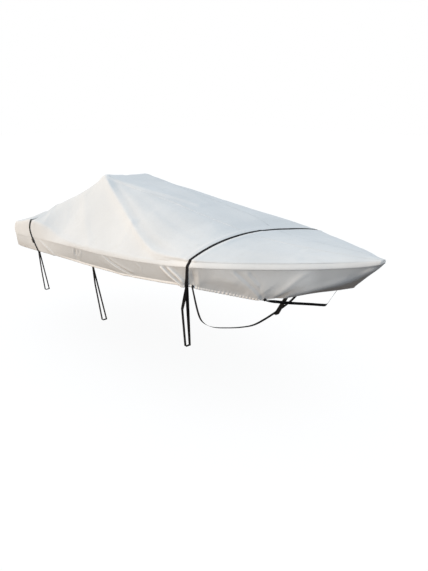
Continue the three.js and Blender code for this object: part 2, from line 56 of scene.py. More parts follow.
# The x of the row of cloth that each strap lies along:
STRAPS = {"rear": 402.0, "mid": 1620.0, "front": 3031.0, "belly": 3100.0, "bow": 3815.0}
WEB_WIDTH, WEB_THICK = 30.0, 1.8
RAIL_WIDTH = 50.0  # breadth of the trailer's rail, which the ties go round
LAP = 13.0  # width of a lapped seam
LAP_RISE = 0.35  # how far the lap stands over the cloth beside it
HEM_FOLD = 28.0  # depth of the hem's fold
TURN = 2 * math.pi

ORIGIN = np.array([CONSOLE_X, 0.0, CONSOLE_Z - CLOTH])


def metres(places):
    """Places in the boat's frame, in millimetres, as places in the model's own."""
    return (np.asarray(places, dtype=float) - ORIGIN) / 1000.0


def in_scene(name, data):
    """A new object of the scene that shows this data."""
    made = bpy.data.objects.new(name, data)
    bpy.context.scene.collection.objects.link(made)
    return made


def unit(v):
    return v / np.linalg.norm(v)


def lengths_of(grid, axis):
    """How far along its row or column each point of a grid, or of a line, lies."""
    step = np.linalg.norm(np.diff(grid, axis=axis), axis=-1)
    shape = list(step.shape)
    shape[axis] = 1
    return np.concatenate([np.zeros(shape), np.cumsum(step, axis=axis)], axis=axis)


def places_at(far, line):
    """The places so far along a line."""
    gone = lengths_of(line, 0)
    return np.stack([np.interp(far, gone, line[:, k]) for k in range(3)], axis=-1)


# ---- cross-sections of the cover, starboard half ----
SECTION_COLUMNS = ("x", "crown_z", "square", "lean", "hip_y", "hip_z", "knee_y", "knee_z",
                   "wall_x", "rail_x", "rail_y", "rail_z")
SECTIONS = (
    (0, 1208, 2.0, 0, 868, 1201, 900, 1194, -28, -20, 898, 1052),
    (40, 1225, 2.0, 0, 850, 1213, 908, 1203, -28, 22, 908, 1055),
    (200, 1288, 2.2, 0, 775, 1262, 904, 1233, -32, 190, 906, 1066),
    (402, 1391, 2.6, 0, 648, 1371, 905, 1279, -38, 420, 907, 1083),
    (600, 1500, 3.0, 0, 524, 1484, 893, 1262, -15, 606, 906, 1096),
    (765, 1590, 4.0, 0, 420, 1573, 873, 1230, 0, 766, 904, 1105),
    (900, 1690, 5.0, 12, 336, 1674, 872, 1198, 0, 900, 903, 1113),
    (CONSOLE_X, CONSOLE_Z, 6.0, 20, 290, 1728, 878, 1180, 0, 980, 902, 1118),
    (1060, 1734, 5.5, 14, 314, 1716, 884, 1174, 0, 1060, 901, 1123),
    (1300, 1706, 4.6, 6, 399, 1646, 897, 1172, 0, 1300, 899, 1137),
    (1650, 1669, 4.2, 0, 523, 1550, 890, 1188, 0, 1650, 892, 1152),
    (2000, 1626, 3.2, 0, 647, 1447, 881, 1211, 0, 2000, 883, 1175),
    (2300, 1584, 2.9, 0, 748, 1367, 870, 1235, 0, 2300, 872, 1199),
    (2600, 1537, 2.8, 0, 816, 1316, 856, 1269, 0, 2600, 858, 1231),
    (2820, 1504, 2.7, 6, 828, 1322, 846, 1296, 0, 2820, 848, 1257),
    (3031, 1464, 2.5, 17, 817, 1341, 832, 1327, 0, 3025, 834, 1286),
    (3300, 1447, 2.4, 10, 710, 1357, 726, 1350, 0, 3300, 728, 1310),
    (3600, 1445, 2.3, 5, 536, 1381, 551, 1374, 0, 3600, 552, 1334),
    (3850, 1446, 2.2, 3, 360, 1402, 374, 1395, 0, 3850, 374, 1356),
    (4050, 1448, 2.2, 1, 199, 1420, 212, 1414, 0, 4049, 212, 1376),
    (4200, 1450, 2.0, 0, 80, 1438, 92, 1433, 0, 4198, 92, 1398),
    (NOSE_X, 1452, 2.0, 0, NOSE_HALF - 2, 1450, NOSE_HALF, 1447, 0, NOSE_X - 3, NOSE_HALF, 1420),
)
HEM_COLUMNS = ("x", "hem_x", "hem_y", "hem_z", "belly")
HEM_ROWS = (
    (0, 18, 893, 922, 4),
    (60, 90, 898, 923, 3),
    (402, 508, 888, 937, 2),
    (980, 1000, 880, 966, 6),
    (1620, 1620, 872, 993, 8),
    (2200, 2200, 857, 1028, 8),
    (2700, 2684, 838, 1076, 6),
    (3031, 2995, 815, 1108, 3),
    (3408, 3264, 680, 1086, 10),
    (3650, 3463, 570, 1069, 16),
    (3800, 3559, 520, 1074, 22),
    (3927, 3655, 460, 1099, 26),
    (4060, 3784, 330, 1127, 34),
    (4150, 3887, 220, 1151, 34),
    (4230, 3979, 90, 1163, 26),
    (NOSE_X, 4035, 0, 1173, 0),
)
SEAM_COLUMNS = ("x", "y")
SEAM_ROWS = ((0, 255), (980, 255), (2000, 215), (3031, 165), (4050, 70), (NOSE_X, 5))

SEAM_LIMIT = 0.86  # the largest share of the way to the hip at which the seam may lie
LEAN_PEAK = 2.6  # it makes the curve of the lean peak at 1

# Folds are ridges of cloth from one place to another: on the top (x, y) in plan, on the skirt
# (x along the rub rail, share of the way to the hem); then half-width and height.
TOP_FOLDS = (
    (1000, 240, 2250, 30, 70, 9),
    (780, 430, 1500, 860, 90, 9),
    (1020, 270, 2000, 640, 60, 10),
    (2000, 640, 2900, 810, 60, 7),
    (1300, 300, 2800, 560, 90, -7),
)
SKIRT_FOLDS = (
    (560, 0.0, 800, 1.0, 45, 7),
    (1340, 0.0, 1360, 0.6, 40, -8),
    (1430, 0.0, 1400, 0.5, 35, 7),
    (1760, 0.05, 2150, 0.95, 45, 9),
    (2660, 0.0, 2990, 0.85, 42, 12),
    (2790, 0.05, 3000, 0.95, 40, 9),
    (3120, 0.1, 3075, 1.0, 45, -10),
    (3290, 0.0, 3760, 0.95, 45, 11),
    (3460, 0.0, 3730, 0.6, 42, 8),
)
FOLD_GROWTH = 2.2  # how fast a fold of the skirt grows, down from the rub rail
SKIRT_SCALE = 200.0  # a skirt's usual depth, for places given by the share of the way down
SKIRT_FACES = (0.25, 0.9, -0.35)  # the way in which the skirt swells
BELLY_LOW = 1.4  # it puts the fullest part of the belly below the middle
FLAT_FROM = 4150.0  # from here the skirt's swell dies away towards the nose
PORT_SHARE = 0.7  # the port side's folds beside the starboard side's
PORT_FROM = 260.0  # how far from the middle the port side has all of its own rise
DRAPE_SAG = 0.014  # depth of the drape's sag, as a share of its length
PORT_COLUMNS = ("x", "rise")
PORT_ROWS = (
    (0, 0), (960, 0), (1060, -10), (1250, -6), (1700, -10), (1900, -6), (2100, 0), (2350, 5),
    (2520, 12), (2700, 18), (2850, 22), (2960, 10), (3060, 2), (3160, -8), (3300, -13),
    (3600, -13), (3800, -8), (3980, 1), (4100, 6), (4200, 0), (NOSE_X, 0),
)
EDGE_RADIUS = 9.0  # how round the cover's edges are
SOFT_STEPS, SOFT_REACH = 5, 15  # steps to that radius, and steps over which a corner is rounded
GUNWALE_COLUMNS = ("x", "roll")
GUNWALE_ROWS = ((0, 8), (1200, 8), (2400, 12), (2900, 22), (3900, 24), (4200, 10), (NOSE_X, 2))


def column(names, rows, name, x):
    """Smooth values of one named column at the places x, never past their neighbours."""
    x = np.asarray(x, dtype=float)
    at = np.array([row[0] for row in rows], dtype=float)
    value = np.array([row[names.index(name)] for row in rows], dtype=float)
    rise = np.diff(value) / np.diff(at)
    slope = np.empty(len(at))
    slope[0], slope[-1] = rise[0], rise[-1]
    before, after = rise[:-1], rise[1:]
    same = before * after > 0
    slope[1:-1] = np.where(same, 2 * before * after / np.where(same, before + after, 1.0), 0.0)
    i = np.clip(np.searchsorted(at, x, side="right") - 1, 0, len(at) - 2)
    span = at[i + 1] - at[i]
    t = np.clip((x - at[i]) / span, 0.0, 1.0)
    t2, t3 = t * t, t * t * t
    return (value[i] * (2 * t3 - 3 * t2 + 1) + span * slope[i] * (t3 - 2 * t2 + t)
            + value[i + 1] * (3 * t2 - 2 * t3) + span * slope[i + 1] * (t3 - t2))


def section(name, x):
    return column(SECTION_COLUMNS, SECTIONS, name, x)


def hem_row(name, x):
    return column(HEM_COLUMNS, HEM_ROWS, name, x)


def edge_line(read, edge, x):
    """Places along an edge that three columns of a table give."""
    return np.stack([read(edge + axis, x) for axis in ("_x", "_y", "_z")], axis=-1)


def fold_height(folds, px, py, scale_y=1.0):
    """Height of the folds, which are round ridges, at places px, py."""
    height = np.zeros(np.broadcast(px, py).shape)
    for x0, y0, x1, y1, width, rise in folds:
        dx, dy = x1 - x0, (y1 - y0) * scale_y
        along = ((px - x0) * dx + (py - y0) * scale_y * dy) / (dx * dx + dy * dy)
        t = np.clip(along, 0.0, 1.0)
        away = np.hypot(px - x0 - t * dx, (py - y0) * scale_y - t * dy) / width
        height += rise * np.exp(-away ** 2)
    return height


# ---- the rows and columns of cloth ----
ROW_PITCH, CREASED_PITCH = 9.0, 5.0
CREASED = ((1780, 2240), (2640, 3200), (3350, 3820))  # stretches with sharp creases in the skirt
SEAM_AT, HIP_AT, KNEE_AT, RAIL_AT, HEM_AT = 10, 34, 72, 78, 106  # columns out from the centre


def row_places():
    """Places of the rows along the boat, with one on the middle of each strap."""
    keys = {0.0, CONSOLE_X, NOSE_X, *STRAPS.values()}
    keys.update(float(x) for ends in CREASED for x in ends)
    keys = sorted(keys)
    places = [keys[0]]
    for low, high in zip(keys, keys[1:]):
        creased = any(start <= low < end for start, end in CREASED)
        steps = math.ceil((high - low) / (CREASED_PITCH if creased else ROW_PITCH))
        places += [low + (high - low) * k / steps for k in range(1, steps + 1)]
    return np.array(places)


ROWS = row_places()


def row_at(place):
    return int(np.argmin(np.abs(ROWS - place)))


def lapped(count, length):
    """Shares of a stretch of cloth: the first ends a seam's lap, the rest are even."""
    first = np.minimum(LAP / length, 0.6 / count)
    return [np.zeros_like(length)] + [first + (1 - first) * k / (count - 1) for k in range(count)]


def half_cover(side):
    """The starboard (-1) or port (1) half: rows along the boat, columns from centre to hem."""
    x = ROWS
    share = 1.0 if side < 0 else PORT_SHARE
    crown, hip_y, hip_z = section("crown_z", x), section("hip_y", x), section("hip_z", x)
    knee_y, knee_z = section("knee_y", x), section("knee_z", x)
    seam = np.minimum(SEAM_LIMIT, column(SEAM_COLUMNS, SEAM_ROWS, "y", x) / hip_y)
    places = [seam * k / SEAM_AT for k in range(SEAM_AT)]
    places += [seam + (1 - seam) * s for s in lapped(HIP_AT - SEAM_AT, (1 - seam) * hip_y)]
    columns = []
    for out in places:
        y = out * hip_y
        z = crown - (crown - hip_z) * np.minimum(1, out) ** section("square", x)
        part = side * y / knee_y
        z = z - LEAN_PEAK * section("lean", x) * part * (1 - part * part)
        z = z + share * fold_height(TOP_FOLDS, x, y)
        columns.append(np.stack([x, y, z], axis=-1))
    hip = columns[-1]
    roll = column(GUNWALE_COLUMNS, GUNWALE_ROWS, "roll", x)
    knee = np.stack([x, knee_y - roll, knee_z], axis=-1)
    length = np.linalg.norm(knee - hip, axis=-1)
    for k in range(1, KNEE_AT - HIP_AT + 1):
        s = k / (KNEE_AT - HIP_AT)
        point = hip + (knee - hip) * s
        slack = 4 * s * (1 - s) * length * DRAPE_SAG
        point[:, 1] -= slack
        point[:, 2] += (1 - s) * share * fold_height(TOP_FOLDS, x, point[:, 1]) - slack
        columns.append(point)
    rail = edge_line(section, "rail", x)
    for k in range(1, RAIL_AT - KNEE_AT + 1):
        s = k / (RAIL_AT - KNEE_AT)
        point = knee + (rail - knee) * s
        point[:, 0] += section("wall_x", x) * math.sin(math.pi * s)
        point[:, 1] += roll * s * (1 - s)
        columns.append(point)
    hem = edge_line(hem_row, "hem", x)
    drop = np.linalg.norm(hem - rail, axis=-1)
    out = unit(np.array(SKIRT_FACES))
    flat = 1 - np.maximum(0, (x - FLAT_FROM) / (NOSE_X - FLAT_FROM)) ** 2
    for s in lapped(HEM_AT - RAIL_AT, drop)[1:]:
        fold = fold_height(SKIRT_FOLDS, x, s, SKIRT_SCALE) * share * np.minimum(1, s * FOLD_GROWTH)
        swell = flat * (hem_row("belly", x) * np.sin(math.pi * s ** BELLY_LOW) + fold)
        columns.append(rail + (hem - rail) * s[:, None] + out * swell[:, None])
    half = np.stack(columns, axis=1)
    half[:, :, 1] *= side
    if side > 0:
        rise = column(PORT_COLUMNS, PORT_ROWS, "rise", x)
        over = np.clip(half[:, :KNEE_AT + 1, 1] / PORT_FROM, 0, 1)
        half[:, :KNEE_AT + 1, 2] += rise[:, None] * over * over * (3 - 2 * over)
        for k in range(KNEE_AT + 1, RAIL_AT):
            half[:, k, 2] += rise * (RAIL_AT - k) / (RAIL_AT - KNEE_AT)
    return half


def eased(cover, at, reach, rounds):
    """The fold along one column rounded over its neighbours."""
    for _ in range(rounds):
        low, high = at - reach, at + reach + 1
        cover[:, low:high] = (0.25 * cover[:, low - 1:high - 1] + 0.5 * cover[:, low:high]
                              + 0.25 * cover[:, low + 1:high + 1])


def softened(line, radius):
    """A line with its corners rounded, its ends kept, and its points as far along as before."""
    gone = lengths_of(line, 0)
    pitch = radius / SOFT_STEPS
    fine = np.arange(0.0, gone[-1] + pitch, pitch)
    weights = np.exp(-0.5 * (np.arange(-SOFT_REACH, SOFT_REACH + 1) / SOFT_STEPS) ** 2)
    weights /= weights.sum()
    smooth = []
    for k in range(3):
        values = np.interp(fine, gone, line[:, k])
        before = 2 * values[0] - values[SOFT_REACH:0:-1]
        after = 2 * values[-1] - values[-2:-SOFT_REACH - 2:-1]
        padded = np.concatenate([before, values, after])
        smooth.append(np.interp(gone, fine, np.convolve(padded, weights, mode="valid")))
    smooth = np.stack(smooth, axis=-1)
    smooth[0], smooth[-1] = line[0], line[-1]
    return smooth


def whole_cover():
    """Rows along the boat, columns from the starboard hem over the top to the port hem."""
    starboard, port = half_cover(-1), half_cover(1)
    cover = np.concatenate([starboard[:, ::-1], port[:, 1:]], axis=1)
    for side in (-1, 1):
        eased(cover, HEM_AT + side * HIP_AT, reach=1, rounds=2)
    sides = (slice(HEM_AT - RAIL_AT, HEM_AT - SEAM_AT),
             slice(HEM_AT + SEAM_AT + 1, HEM_AT + RAIL_AT + 1))
    for row in cover:
        for columns in sides:
            row[columns] = softened(row[columns], EDGE_RADIUS)
    return cover


def normals_of(grid):
    along = np.gradient(grid, axis=0)
    across = np.gradient(grid, axis=1)
    normal = np.cross(along, across)
    return normal / np.maximum(1e-9, np.linalg.norm(normal, axis=-1))[..., None]


# ---- the camera, first, so that the straps are judged by its view ----
CAMERA_LENS, CAMERA_FILM = 37.83, 36.0  # focal length, and the film's longer side
CAMERA_PLACE = (6591.8, -3774.3, 2637.8)
CAMERA_LOOKS = (-0.70465, 0.63826, -0.30997)


def add_camera():
    """The scene's one camera, ahead of the boat on its starboard side."""
    data = bpy.data.cameras.new("camera")
    data.lens, data.sensor_width, data.sensor_fit = CAMERA_LENS, CAMERA_FILM, "AUTO"
    camera = in_scene("camera", data)
    turned = Vector(CAMERA_LOOKS).to_track_quat("-Z", "Y").to_matrix().to_4x4()
    camera.matrix_world = Matrix.Translation(metres(CAMERA_PLACE)) @ turned
    bpy.context.scene.camera = camera


add_camera()


# ---- materials ----
class Value:
    """A node's output, to which Python's operators add Math nodes."""

    def __init__(self, shop, socket):
        self.shop, self.socket = shop, socket

    def math(self, operation, *inputs):
        return self.shop.node("Math", {"operation": operation}, dict(enumerate(inputs)))

    def __add__(self, other):
        return self.math("ADD", self, other)

    def __mul__(self, other):
        return self.math("MULTIPLY", self, other)

    def __sub__(self, other):
        return self.math("SUBTRACT", self, other)

    def __rsub__(self, other):
        return self.math("SUBTRACT", other, self)

    __radd__, __rmul__ = __add__, __mul__

    def sine(self):
        return self.math("SINE", self)

    def absolute(self):
        return self.math("ABSOLUTE", self)

    def between(self, low, high):
        """0 below low, 1 above high, and smooth from one to the other."""
        return self.shop.node("MapRange", {"interpolation_type": "SMOOTHSTEP"},
                              {"Value": self, "From Min": low, "From Max": high})


class Shop:
    """A tree of nodes, and the one method that adds a node to it."""

    def __init__(self, tree, prefix="ShaderNode"):
        self.tree, self.prefix = tree, prefix

    def node(self, kind, settings=None, inputs=None, output=0):
        """A node with its settings and the values or links of its inputs, as its one output."""
        node = self.tree.nodes.new(self.prefix + kind)
        for name, setting in (settings or {}).items():
            setattr(node, name, setting)
        for name, given in (inputs or {}).items():
            self.feed(node.inputs[name], given)
        return None if output is None else Value(self, node.outputs[output])

    def feed(self, socket, given):
        if isinstance(given, Value):
            self.tree.links.new(given.socket, socket)
        else:
            socket.default_value = given

    def seen_by(self, *kinds):
        """1 for rays of these kinds, and 0 for all others."""
        return sum(self.node("LightPath", output=f"Is {kind} Ray") for kind in kinds)


class Finish(Shop):
    """A material's tree: what its colour, roughness and relief are made of."""

    def __init__(self, name):
        self.material = bpy.data.materials.new(name)
        self.material.use_nodes = True
        super().__init__(self.material.node_tree)

    def surface(self, inputs):
        for name, given in inputs.items():
            self.feed(self.tree.nodes["Principled BSDF"].inputs[name], given)
        return self.material

    def blend(self, share, one, other):
        """A colour part of the way from one to the other."""
        return self.node("Mix", {"data_type": "RGBA"}, {0: share, 6: one, 7: other}, output=2)

    def place(self):
        return self.node("TexCoord", output="Object")

    def noise(self, scale, detail=3.0, roughness=0.55):
        return self.node("TexNoise", None, {"Vector": self.place(), "Scale": scale,
                                            "Detail": detail, "Roughness": roughness})

    def part_of(self, place, axis):
        return self.node("SeparateXYZ", None, {"Vector": place}, axis)

    def along_and_across(self):
        """The cloth's own two lengths, in metres, from its UV map."""
        place = self.node("UVMap", {"uv_map": "cloth"})
        return self.part_of(place, 0), self.part_of(place, 1)

    def bump(self, height, strength, distance, under=None):
        """Small relief, laid over what is under it."""
        inputs = {"Height": height, "Strength": strength, "Distance": distance}
        if under is not None:
            inputs["Normal"] = under
        return self.node("Bump", None, inputs)


# Noises: how often in a metre, the detail, and for grime its roughness.
CRUMPLES, PATCHES, GRIME = (26.0, 4.0), (2.2, 3.0), (9.0, 5.0, 0.7)
CLOTH_GREY = (0.70, 0.70, 0.69)
PATCHY = (0.97, 1.03)  # how dark and how pale the grey gets in broad patches
RIDGE_HIGHLIGHT = (0.93, 0.90, 0.86, 1)  # painted highlight on a crease's ridge
HOLLOW_SHADE = (0.36, 0.31, 0.26, 1)  # painted shade in a crease's hollow
HEM_PALE = (0.90, 0.88, 0.85, 1)  # the pale strip by the hem
GRIME_TINT = (0.86, 0.84, 0.80)
RIDGE_HIGHLIGHT_SHARE, HOLLOW_SHADE_SHARE = 0.55, 0.84  # how far those two cover the cloth's own grey
CLOTH_WEAVE = 0.0024  # metres from one thread's crown to the next but one
# Painted shade: the skirt is darker than the top by a share that steps along the boat: from and to,
# in metres of the model's X, and the change.
SKIRT_SHADE_AT_STERN = 0.3
SKIRT_SHADE_STEPS = ((-0.75, -0.62, -0.3), (-0.6, 0.6, 1.0), (2.0, 2.35, -0.75), (2.87, 2.98, 0.6))
# Relief: how strong it is, and how high in metres.
CRUMPLE_RELIEF, WEAVE_RELIEF = (0.35, 0.004), (0.22, 0.0003)
HEM_STRIP, HEM_STRIP_FROM = (0.024, 0.029), (-0.2, 0.4)  # the pale strip's edge, and its start


def shade(colour, tint):
    """A colour darker or paler by a share, or by one share for each of its parts."""
    return tuple(np.minimum(1.0, np.multiply(colour, tint)).tolist()) + (1.0,)


def cloth_material(name, weather, painted_shade=0.0):
    """Coated polyester: a plain weave, faint crumples from its folding, a little grime, and painted
    light and shade.
    """
    shop = Finish(name)
    along, across = shop.along_and_across()
    weave = (along * (TURN / CLOTH_WEAVE)).sine() * (across * (TURN / CLOTH_WEAVE)).sine()
    patches = shop.noise(*PATCHES)
    grime = shop.noise(*GRIME).between(0.52, 0.8)
    # The relief attribute holds painted light and shade: painted highlight above 0, painted shade
    # below 0.
    relief = shop.node("Attribute", {"attribute_name": "relief"}, output="Fac")
    tone = shop.blend(patches.between(0.3, 0.7), *(shade(CLOTH_GREY, tint) for tint in PATCHY))
    tone = shop.blend(grime * weather, tone, shade(CLOTH_GREY, GRIME_TINT))
    # Painted shade on the skirt, darker in steps along the boat.
    if painted_shade:
        forward = shop.part_of(shop.place(), 0)
        share = SKIRT_SHADE_AT_STERN
        for low, high, change in SKIRT_SHADE_STEPS:
            share = change * forward.between(low, high) + share
        tone = shop.blend(share, tone, shade(CLOTH_GREY, 1 - painted_shade))
        strip = (1 - across.between(*HEM_STRIP)) * forward.between(*HEM_STRIP_FROM)
        tone = shop.blend(strip, tone, HEM_PALE)
    # Painted light and shade on the creases: a painted highlight along each ridge and painted shade
    # in each hollow.
    tone = shop.blend(relief.between(0.1, 1.0) * RIDGE_HIGHLIGHT_SHARE, tone, RIDGE_HIGHLIGHT)
    tone = shop.blend((relief * -1).between(0.1, 2.1) * HOLLOW_SHADE_SHARE, tone, HOLLOW_SHADE)
    crumpled = shop.bump(shop.noise(*CRUMPLES), *CRUMPLE_RELIEF)
    return shop.surface({"Base Color": tone, "Roughness": 0.74 + 0.14 * patches,
                         "Normal": shop.bump(weave, *WEAVE_RELIEF, crumpled),
                         "Sheen Weight": 0.12, "Specular IOR Level": 0.3})


RIB_PITCH, RIB_BEND = 0.0032, 0.008  # the webbing's ribs, along it and across it, in metres
SELVEDGE = (0.0095, 0.0112)  # where its plain edge starts, out from its middle
WEB_BLACK, WEB_FADED = (0.004, 0.004, 0.005, 1), (0.014, 0.014, 0.016, 1)
BUCKLE_BLACK, BUCKLE_WORN = (0.008, 0.008, 0.009, 1), (0.016, 0.016, 0.018, 1)
THREAD_GREY, THREAD_PALE = (0.50, 0.50, 0.49, 1), (0.64, 0.64, 0.63, 1)


def webbing_material():
    """Black polypropylene webbing: wavy ribs across it, and a plain selvedge on both sides."""
    shop = Finish("webbing_black")
    along, across = shop.along_and_across()
    ribs = (along * (TURN / RIB_PITCH) + (across * (TURN / RIB_BEND)).sine() * 1.2).sine()
    edge = (across - WEB_WIDTH / 2000.0).absolute().between(*SELVEDGE)
    fuzz = shop.noise(300.0, 3.0)
    return shop.surface({"Base Color": shop.blend(fuzz.between(0.35, 0.75), WEB_BLACK, WEB_FADED),
                         "Roughness": 0.7 + 0.2 * fuzz, "Specular IOR Level": 0.22,
                         "Normal": shop.bump(ribs * (1 - edge * 0.7) + edge * 0.8, 0.55, 0.0006)})


def buckle_material():
    """Black moulded plastic, faintly grained and a little shiny."""
    shop = Finish("buckle_plastic")
    grain = shop.noise(700.0, 2.0)
    tone = shop.blend(shop.noise(60.0).between(0.3, 0.7), BUCKLE_BLACK, BUCKLE_WORN)
    return shop.surface({"Base Color": tone, "Roughness": 0.34 + 0.14 * grain,
                         "Normal": shop.bump(grain, 0.2, 0.0002)})


def thread_material():
    """Grey sewing thread, weathered in places."""
    shop = Finish("thread_grey")
    tone = shop.blend(shop.noise(90.0).between(0.3, 0.7), THREAD_GREY, THREAD_PALE)
    return shop.surface({"Base Color": tone, "Roughness": 0.6 + 0.1 * shop.noise(200.0),
                         "Sheen Weight": 0.2})


COVER_CLOTH = cloth_material("cover_cloth_grey", weather=0.30)
# The skirts' and the stern's cloth, with painted shade.
SHADED_SKIRT_CLOTH = cloth_material("skirt_cloth_grey_shaded", weather=0.45, painted_shade=0.27)
WEBBING = webbing_material()
BUCKLE_PLASTIC = buckle_material()
THREAD = thread_material()


# ---- cloth ----
# Creases: half-width, height (a hollow's is negative), and the places that each runs through.
CREASES_TOP = (  # places are x and y in plan
    (60, 9.0, ((978, 330), (984, 10))),
    (24, 6.5, ((990, 292), (1295, 224), (1740, 178), (2058, 106), (2342, 60))),
    (40, 4.5, ((806, 439), (1208, 687), (1598, 880))),
    (24, 3.0, ((470, 640), (640, 850))),
    (26, 2.0, ((620, 560), (900, 720))),
    (30, 3.4, ((2050, 470), (2480, 560), (2960, 620))),
    (24, -2.2, ((2150, 600), (2560, 660))),
    (24, -2.4, ((2330, 700), (2900, 800))),
    (45, -2.6, ((1300, 250), (2100, 420))),
    (55, 2.4, ((1700, 120), (2900, 330))),
    (40, 3.2, ((3090, 560), (3800, 330))),
    (60, -2.8, ((3090, 420), (3700, 180))),
    (26, 2.4, ((3100, 700), (3500, 520))),
    (30, 2.4, ((3500, 380), (4120, 90))),
    (24, 2.4, ((60, 600), (380, 860))),
)
CREASES_SKIRT = (  # places are x along the rub rail and the share of the way to the hem
    (13, 5.5, ((555, 0.0), (580, 0.14), (660, 0.4), (749, 0.61), (850, 1.0))),
    (13, -3.0, ((600, 0.05), (690, 0.4), (790, 0.66))),
    (12, 4.5, ((1308, 0.0), (1290, 0.6))),
    (10, -7.0, ((1345, 0.0), (1325, 0.55))),
    (12, 6.0, ((1380, 0.0), (1366, 0.55))),
    (10, -7.0, ((1414, 0.0), (1404, 0.5))),
    (13, 5.0, ((1450, 0.0), (1446, 0.5))),
    (10, 6.5, ((1800, 0.0), (1929, 0.3), (2061, 0.55), (2180, 0.73), (2340, 1.0))),
    (10, -5.0, ((1835, 0.0), (1964, 0.29), (2096, 0.53), (2215, 0.7), (2330, 0.86))),
    (14, 4.0, ((1905, 0.0), (2050, 0.28), (2190, 0.5), (2330, 0.7))),
    (12, 3.5, ((2330, 0.0), (2420, 0.3), (2450, 0.7))),
    (13, 11.0, ((2672, 0.0), (2804, 0.42), (2924, 0.75), (3010, 1.0))),
    (12, -9.0, ((2720, 0.0), (2858, 0.43), (2972, 0.77))),
    (13, 11.0, ((2762, 0.0), (2912, 0.44), (3016, 0.8))),
    (22, -4.0, ((2830, 0.0), (2960, 0.35))),
    (22, -6.0, ((3076, 0.0), (3090, 0.38), (3128, 0.9))),
    (16, 3.0, ((3128, 0.0), (3146, 0.4), (3182, 0.9))),
    (30, -4.0, ((3190, 0.66), (3400, 0.74), (3620, 0.82))),
    (30, 3.0, ((3250, 0.35), (3500, 0.5))),
    (10, 4.0, ((3362, 0.0), (3436, 0.22), (3550, 0.5), (3690, 0.8), (3780, 1.0))),
    (10, -5.0, ((3396, 0.0), (3471, 0.21), (3584, 0.48), (3720, 0.76), (3800, 0.96))),
    (11, 3.0, ((3470, 0.0), (3528, 0.21), (3600, 0.4), (3680, 0.6))),
    (11, -3.5, ((3500, 0.0), (3556, 0.21), (3628, 0.4), (3700, 0.6))),
    (36, 4.5, ((3872, 0.0), (3882, 0.45), (3900, 1.0))),
    (36, 12.0, ((4285, 0.0), (4208, 0.48), (4055, 0.76), (3930, 1.0))),
)
# Ridges and hollows that run along the hips or the gunwales ("knee"), some way out from them:
RUNNING = (  # the line, how far out, half-width, height, and the x of both ends
    ("hip", 0, 19, 7.0, 990, 2820),
    ("hip", -62, 42, -8.0, 1050, 2900),
    ("hip", 62, 40, -3.0, 1050, 2700),
    ("hip", -20, 26, 3.0, 60, 900),
    ("knee", -80, 44, -2.4, 2900, 4120),
    ("knee", -60, 40, -3.0, 600, 1500),
)
# How far the cloth puffs up ahead of a strap and behind it, and how deep and wide it dips there:
STRAP_PUFFS = (("rear", 9.0, 0.0, 24.0, 46.0), ("front", 3.6, 3.6, 3.0, 20.0))
PUFF_BEYOND, PUFF_WIDTH = 30.0, 24.0  # how far past that width a puff's crest lies
STRAP_HOLD = 0.9  # share of the small relief that a strap presses flat
HELD_WIDTH, SEWN_WIDTH, SEWN_UP = 26.0, 24.0, 60.0  # how far that reaches, also at sewn ends
CREASE_FADE = 45.0  # length over which a crease fades at both ends
RUNNING_FADE = (120.0, 260.0)  # the same for a running ridge, aft and forward
GATHERED = (3020, 3860)  # the stretch of hem that is gathered
GATHER_FADE = (60.0, 90.0)  # the lengths over which the gathers end, aft and forward
GATHER_RISE, GATHER_DEPTH = 2.4, 30.0  # their height, and how far up from the hem they reach
GATHER_WAVE, GATHER_RIPPLE, GATHER_DRIFT = 31.0, 19.0, 47.0  # lengths of their waves
HEM_FULL = 1.2  # how far the hem's fold stands out at the stern
HEM_FULLER, HEM_FULLER_X = 2.6, (1000, 1500)  # what is added forward, and over which x it grows
HEM_ROUND = 0.55  # it puts the fullest part of that fold near the edge
CREASE_START = 1 / 7  # share of the way down the skirt over which its creases grow
SLIP_CROWN, SLIP_GROWTH = 0.35, 500.0  # an over-strap's slip: its share at the crown, and growth
PUFF_ENDS = (KNEE_AT + 3, KNEE_AT - 9)  # the columns between which a puff dies away
SLACK = ((420, 1.6, 2), (120, 0.7, 3), (34, 0.2, 2))  # lengths of wave, heights and octaves
PUCKER_RISE, PUCKER_COLUMNS = 0.35, 2.0  # a pucker's height, and the columns that it spans
PUCKER_WAVE, PUCKER_DRIFT, PUCKER_SWELL = 23.0, 61.0, 87.0  # lengths of their waves
# Height of relief at which a crease's painted highlight and painted shade are full:
CREASE_LIGHT_TOP, CREASE_LIGHT_SKIRT = 22.0, 9.0
# Painted light and shade on the gunwale's wall: it is paler by a share that steps along the boat:
# from, to and the change.
WALL_LIGHT_AT_STERN = 0.35
WALL_LIGHT_STEPS = ((300, 500, -0.35), (800, 1200, -0.5), (2000, 2400, 0.5), (2400, 3100, 0.75))
# The skirt is darker low down at both ends of the boat, painted shade at the bow: how strong,
# and from and to which x it grows.
STERN_DARKENING, STERN_DARKENING_X = 1.0, (520, 420)
BOW_SHADE, BOW_SHADE_X = 1.7, (3850, 3940)
# At the bow the painted shade starts some share of the way down, and higher towards the nose.
BOW_SHADE_START, BOW_SHADE_LENGTH, BOW_SHADE_RISE, BOW_SHADE_RISE_X = 0.45, 0.35, 0.35, (4050, 4250)


def ramp(x, low, high):
    """0 before low, 1 past high, and even between; it falls where high is below low."""
    return np.clip((x - low) / (high - low), 0, 1)


def mound(away, half_width):
    """A round ridge: 1 on its line, and down to 0 on both sides."""
    return np.exp(-(away / half_width) ** 2)


def flat_mound(away, half_width):
    """The same with a flat top and steep sides."""
    return np.exp(-(away / half_width) ** 4)


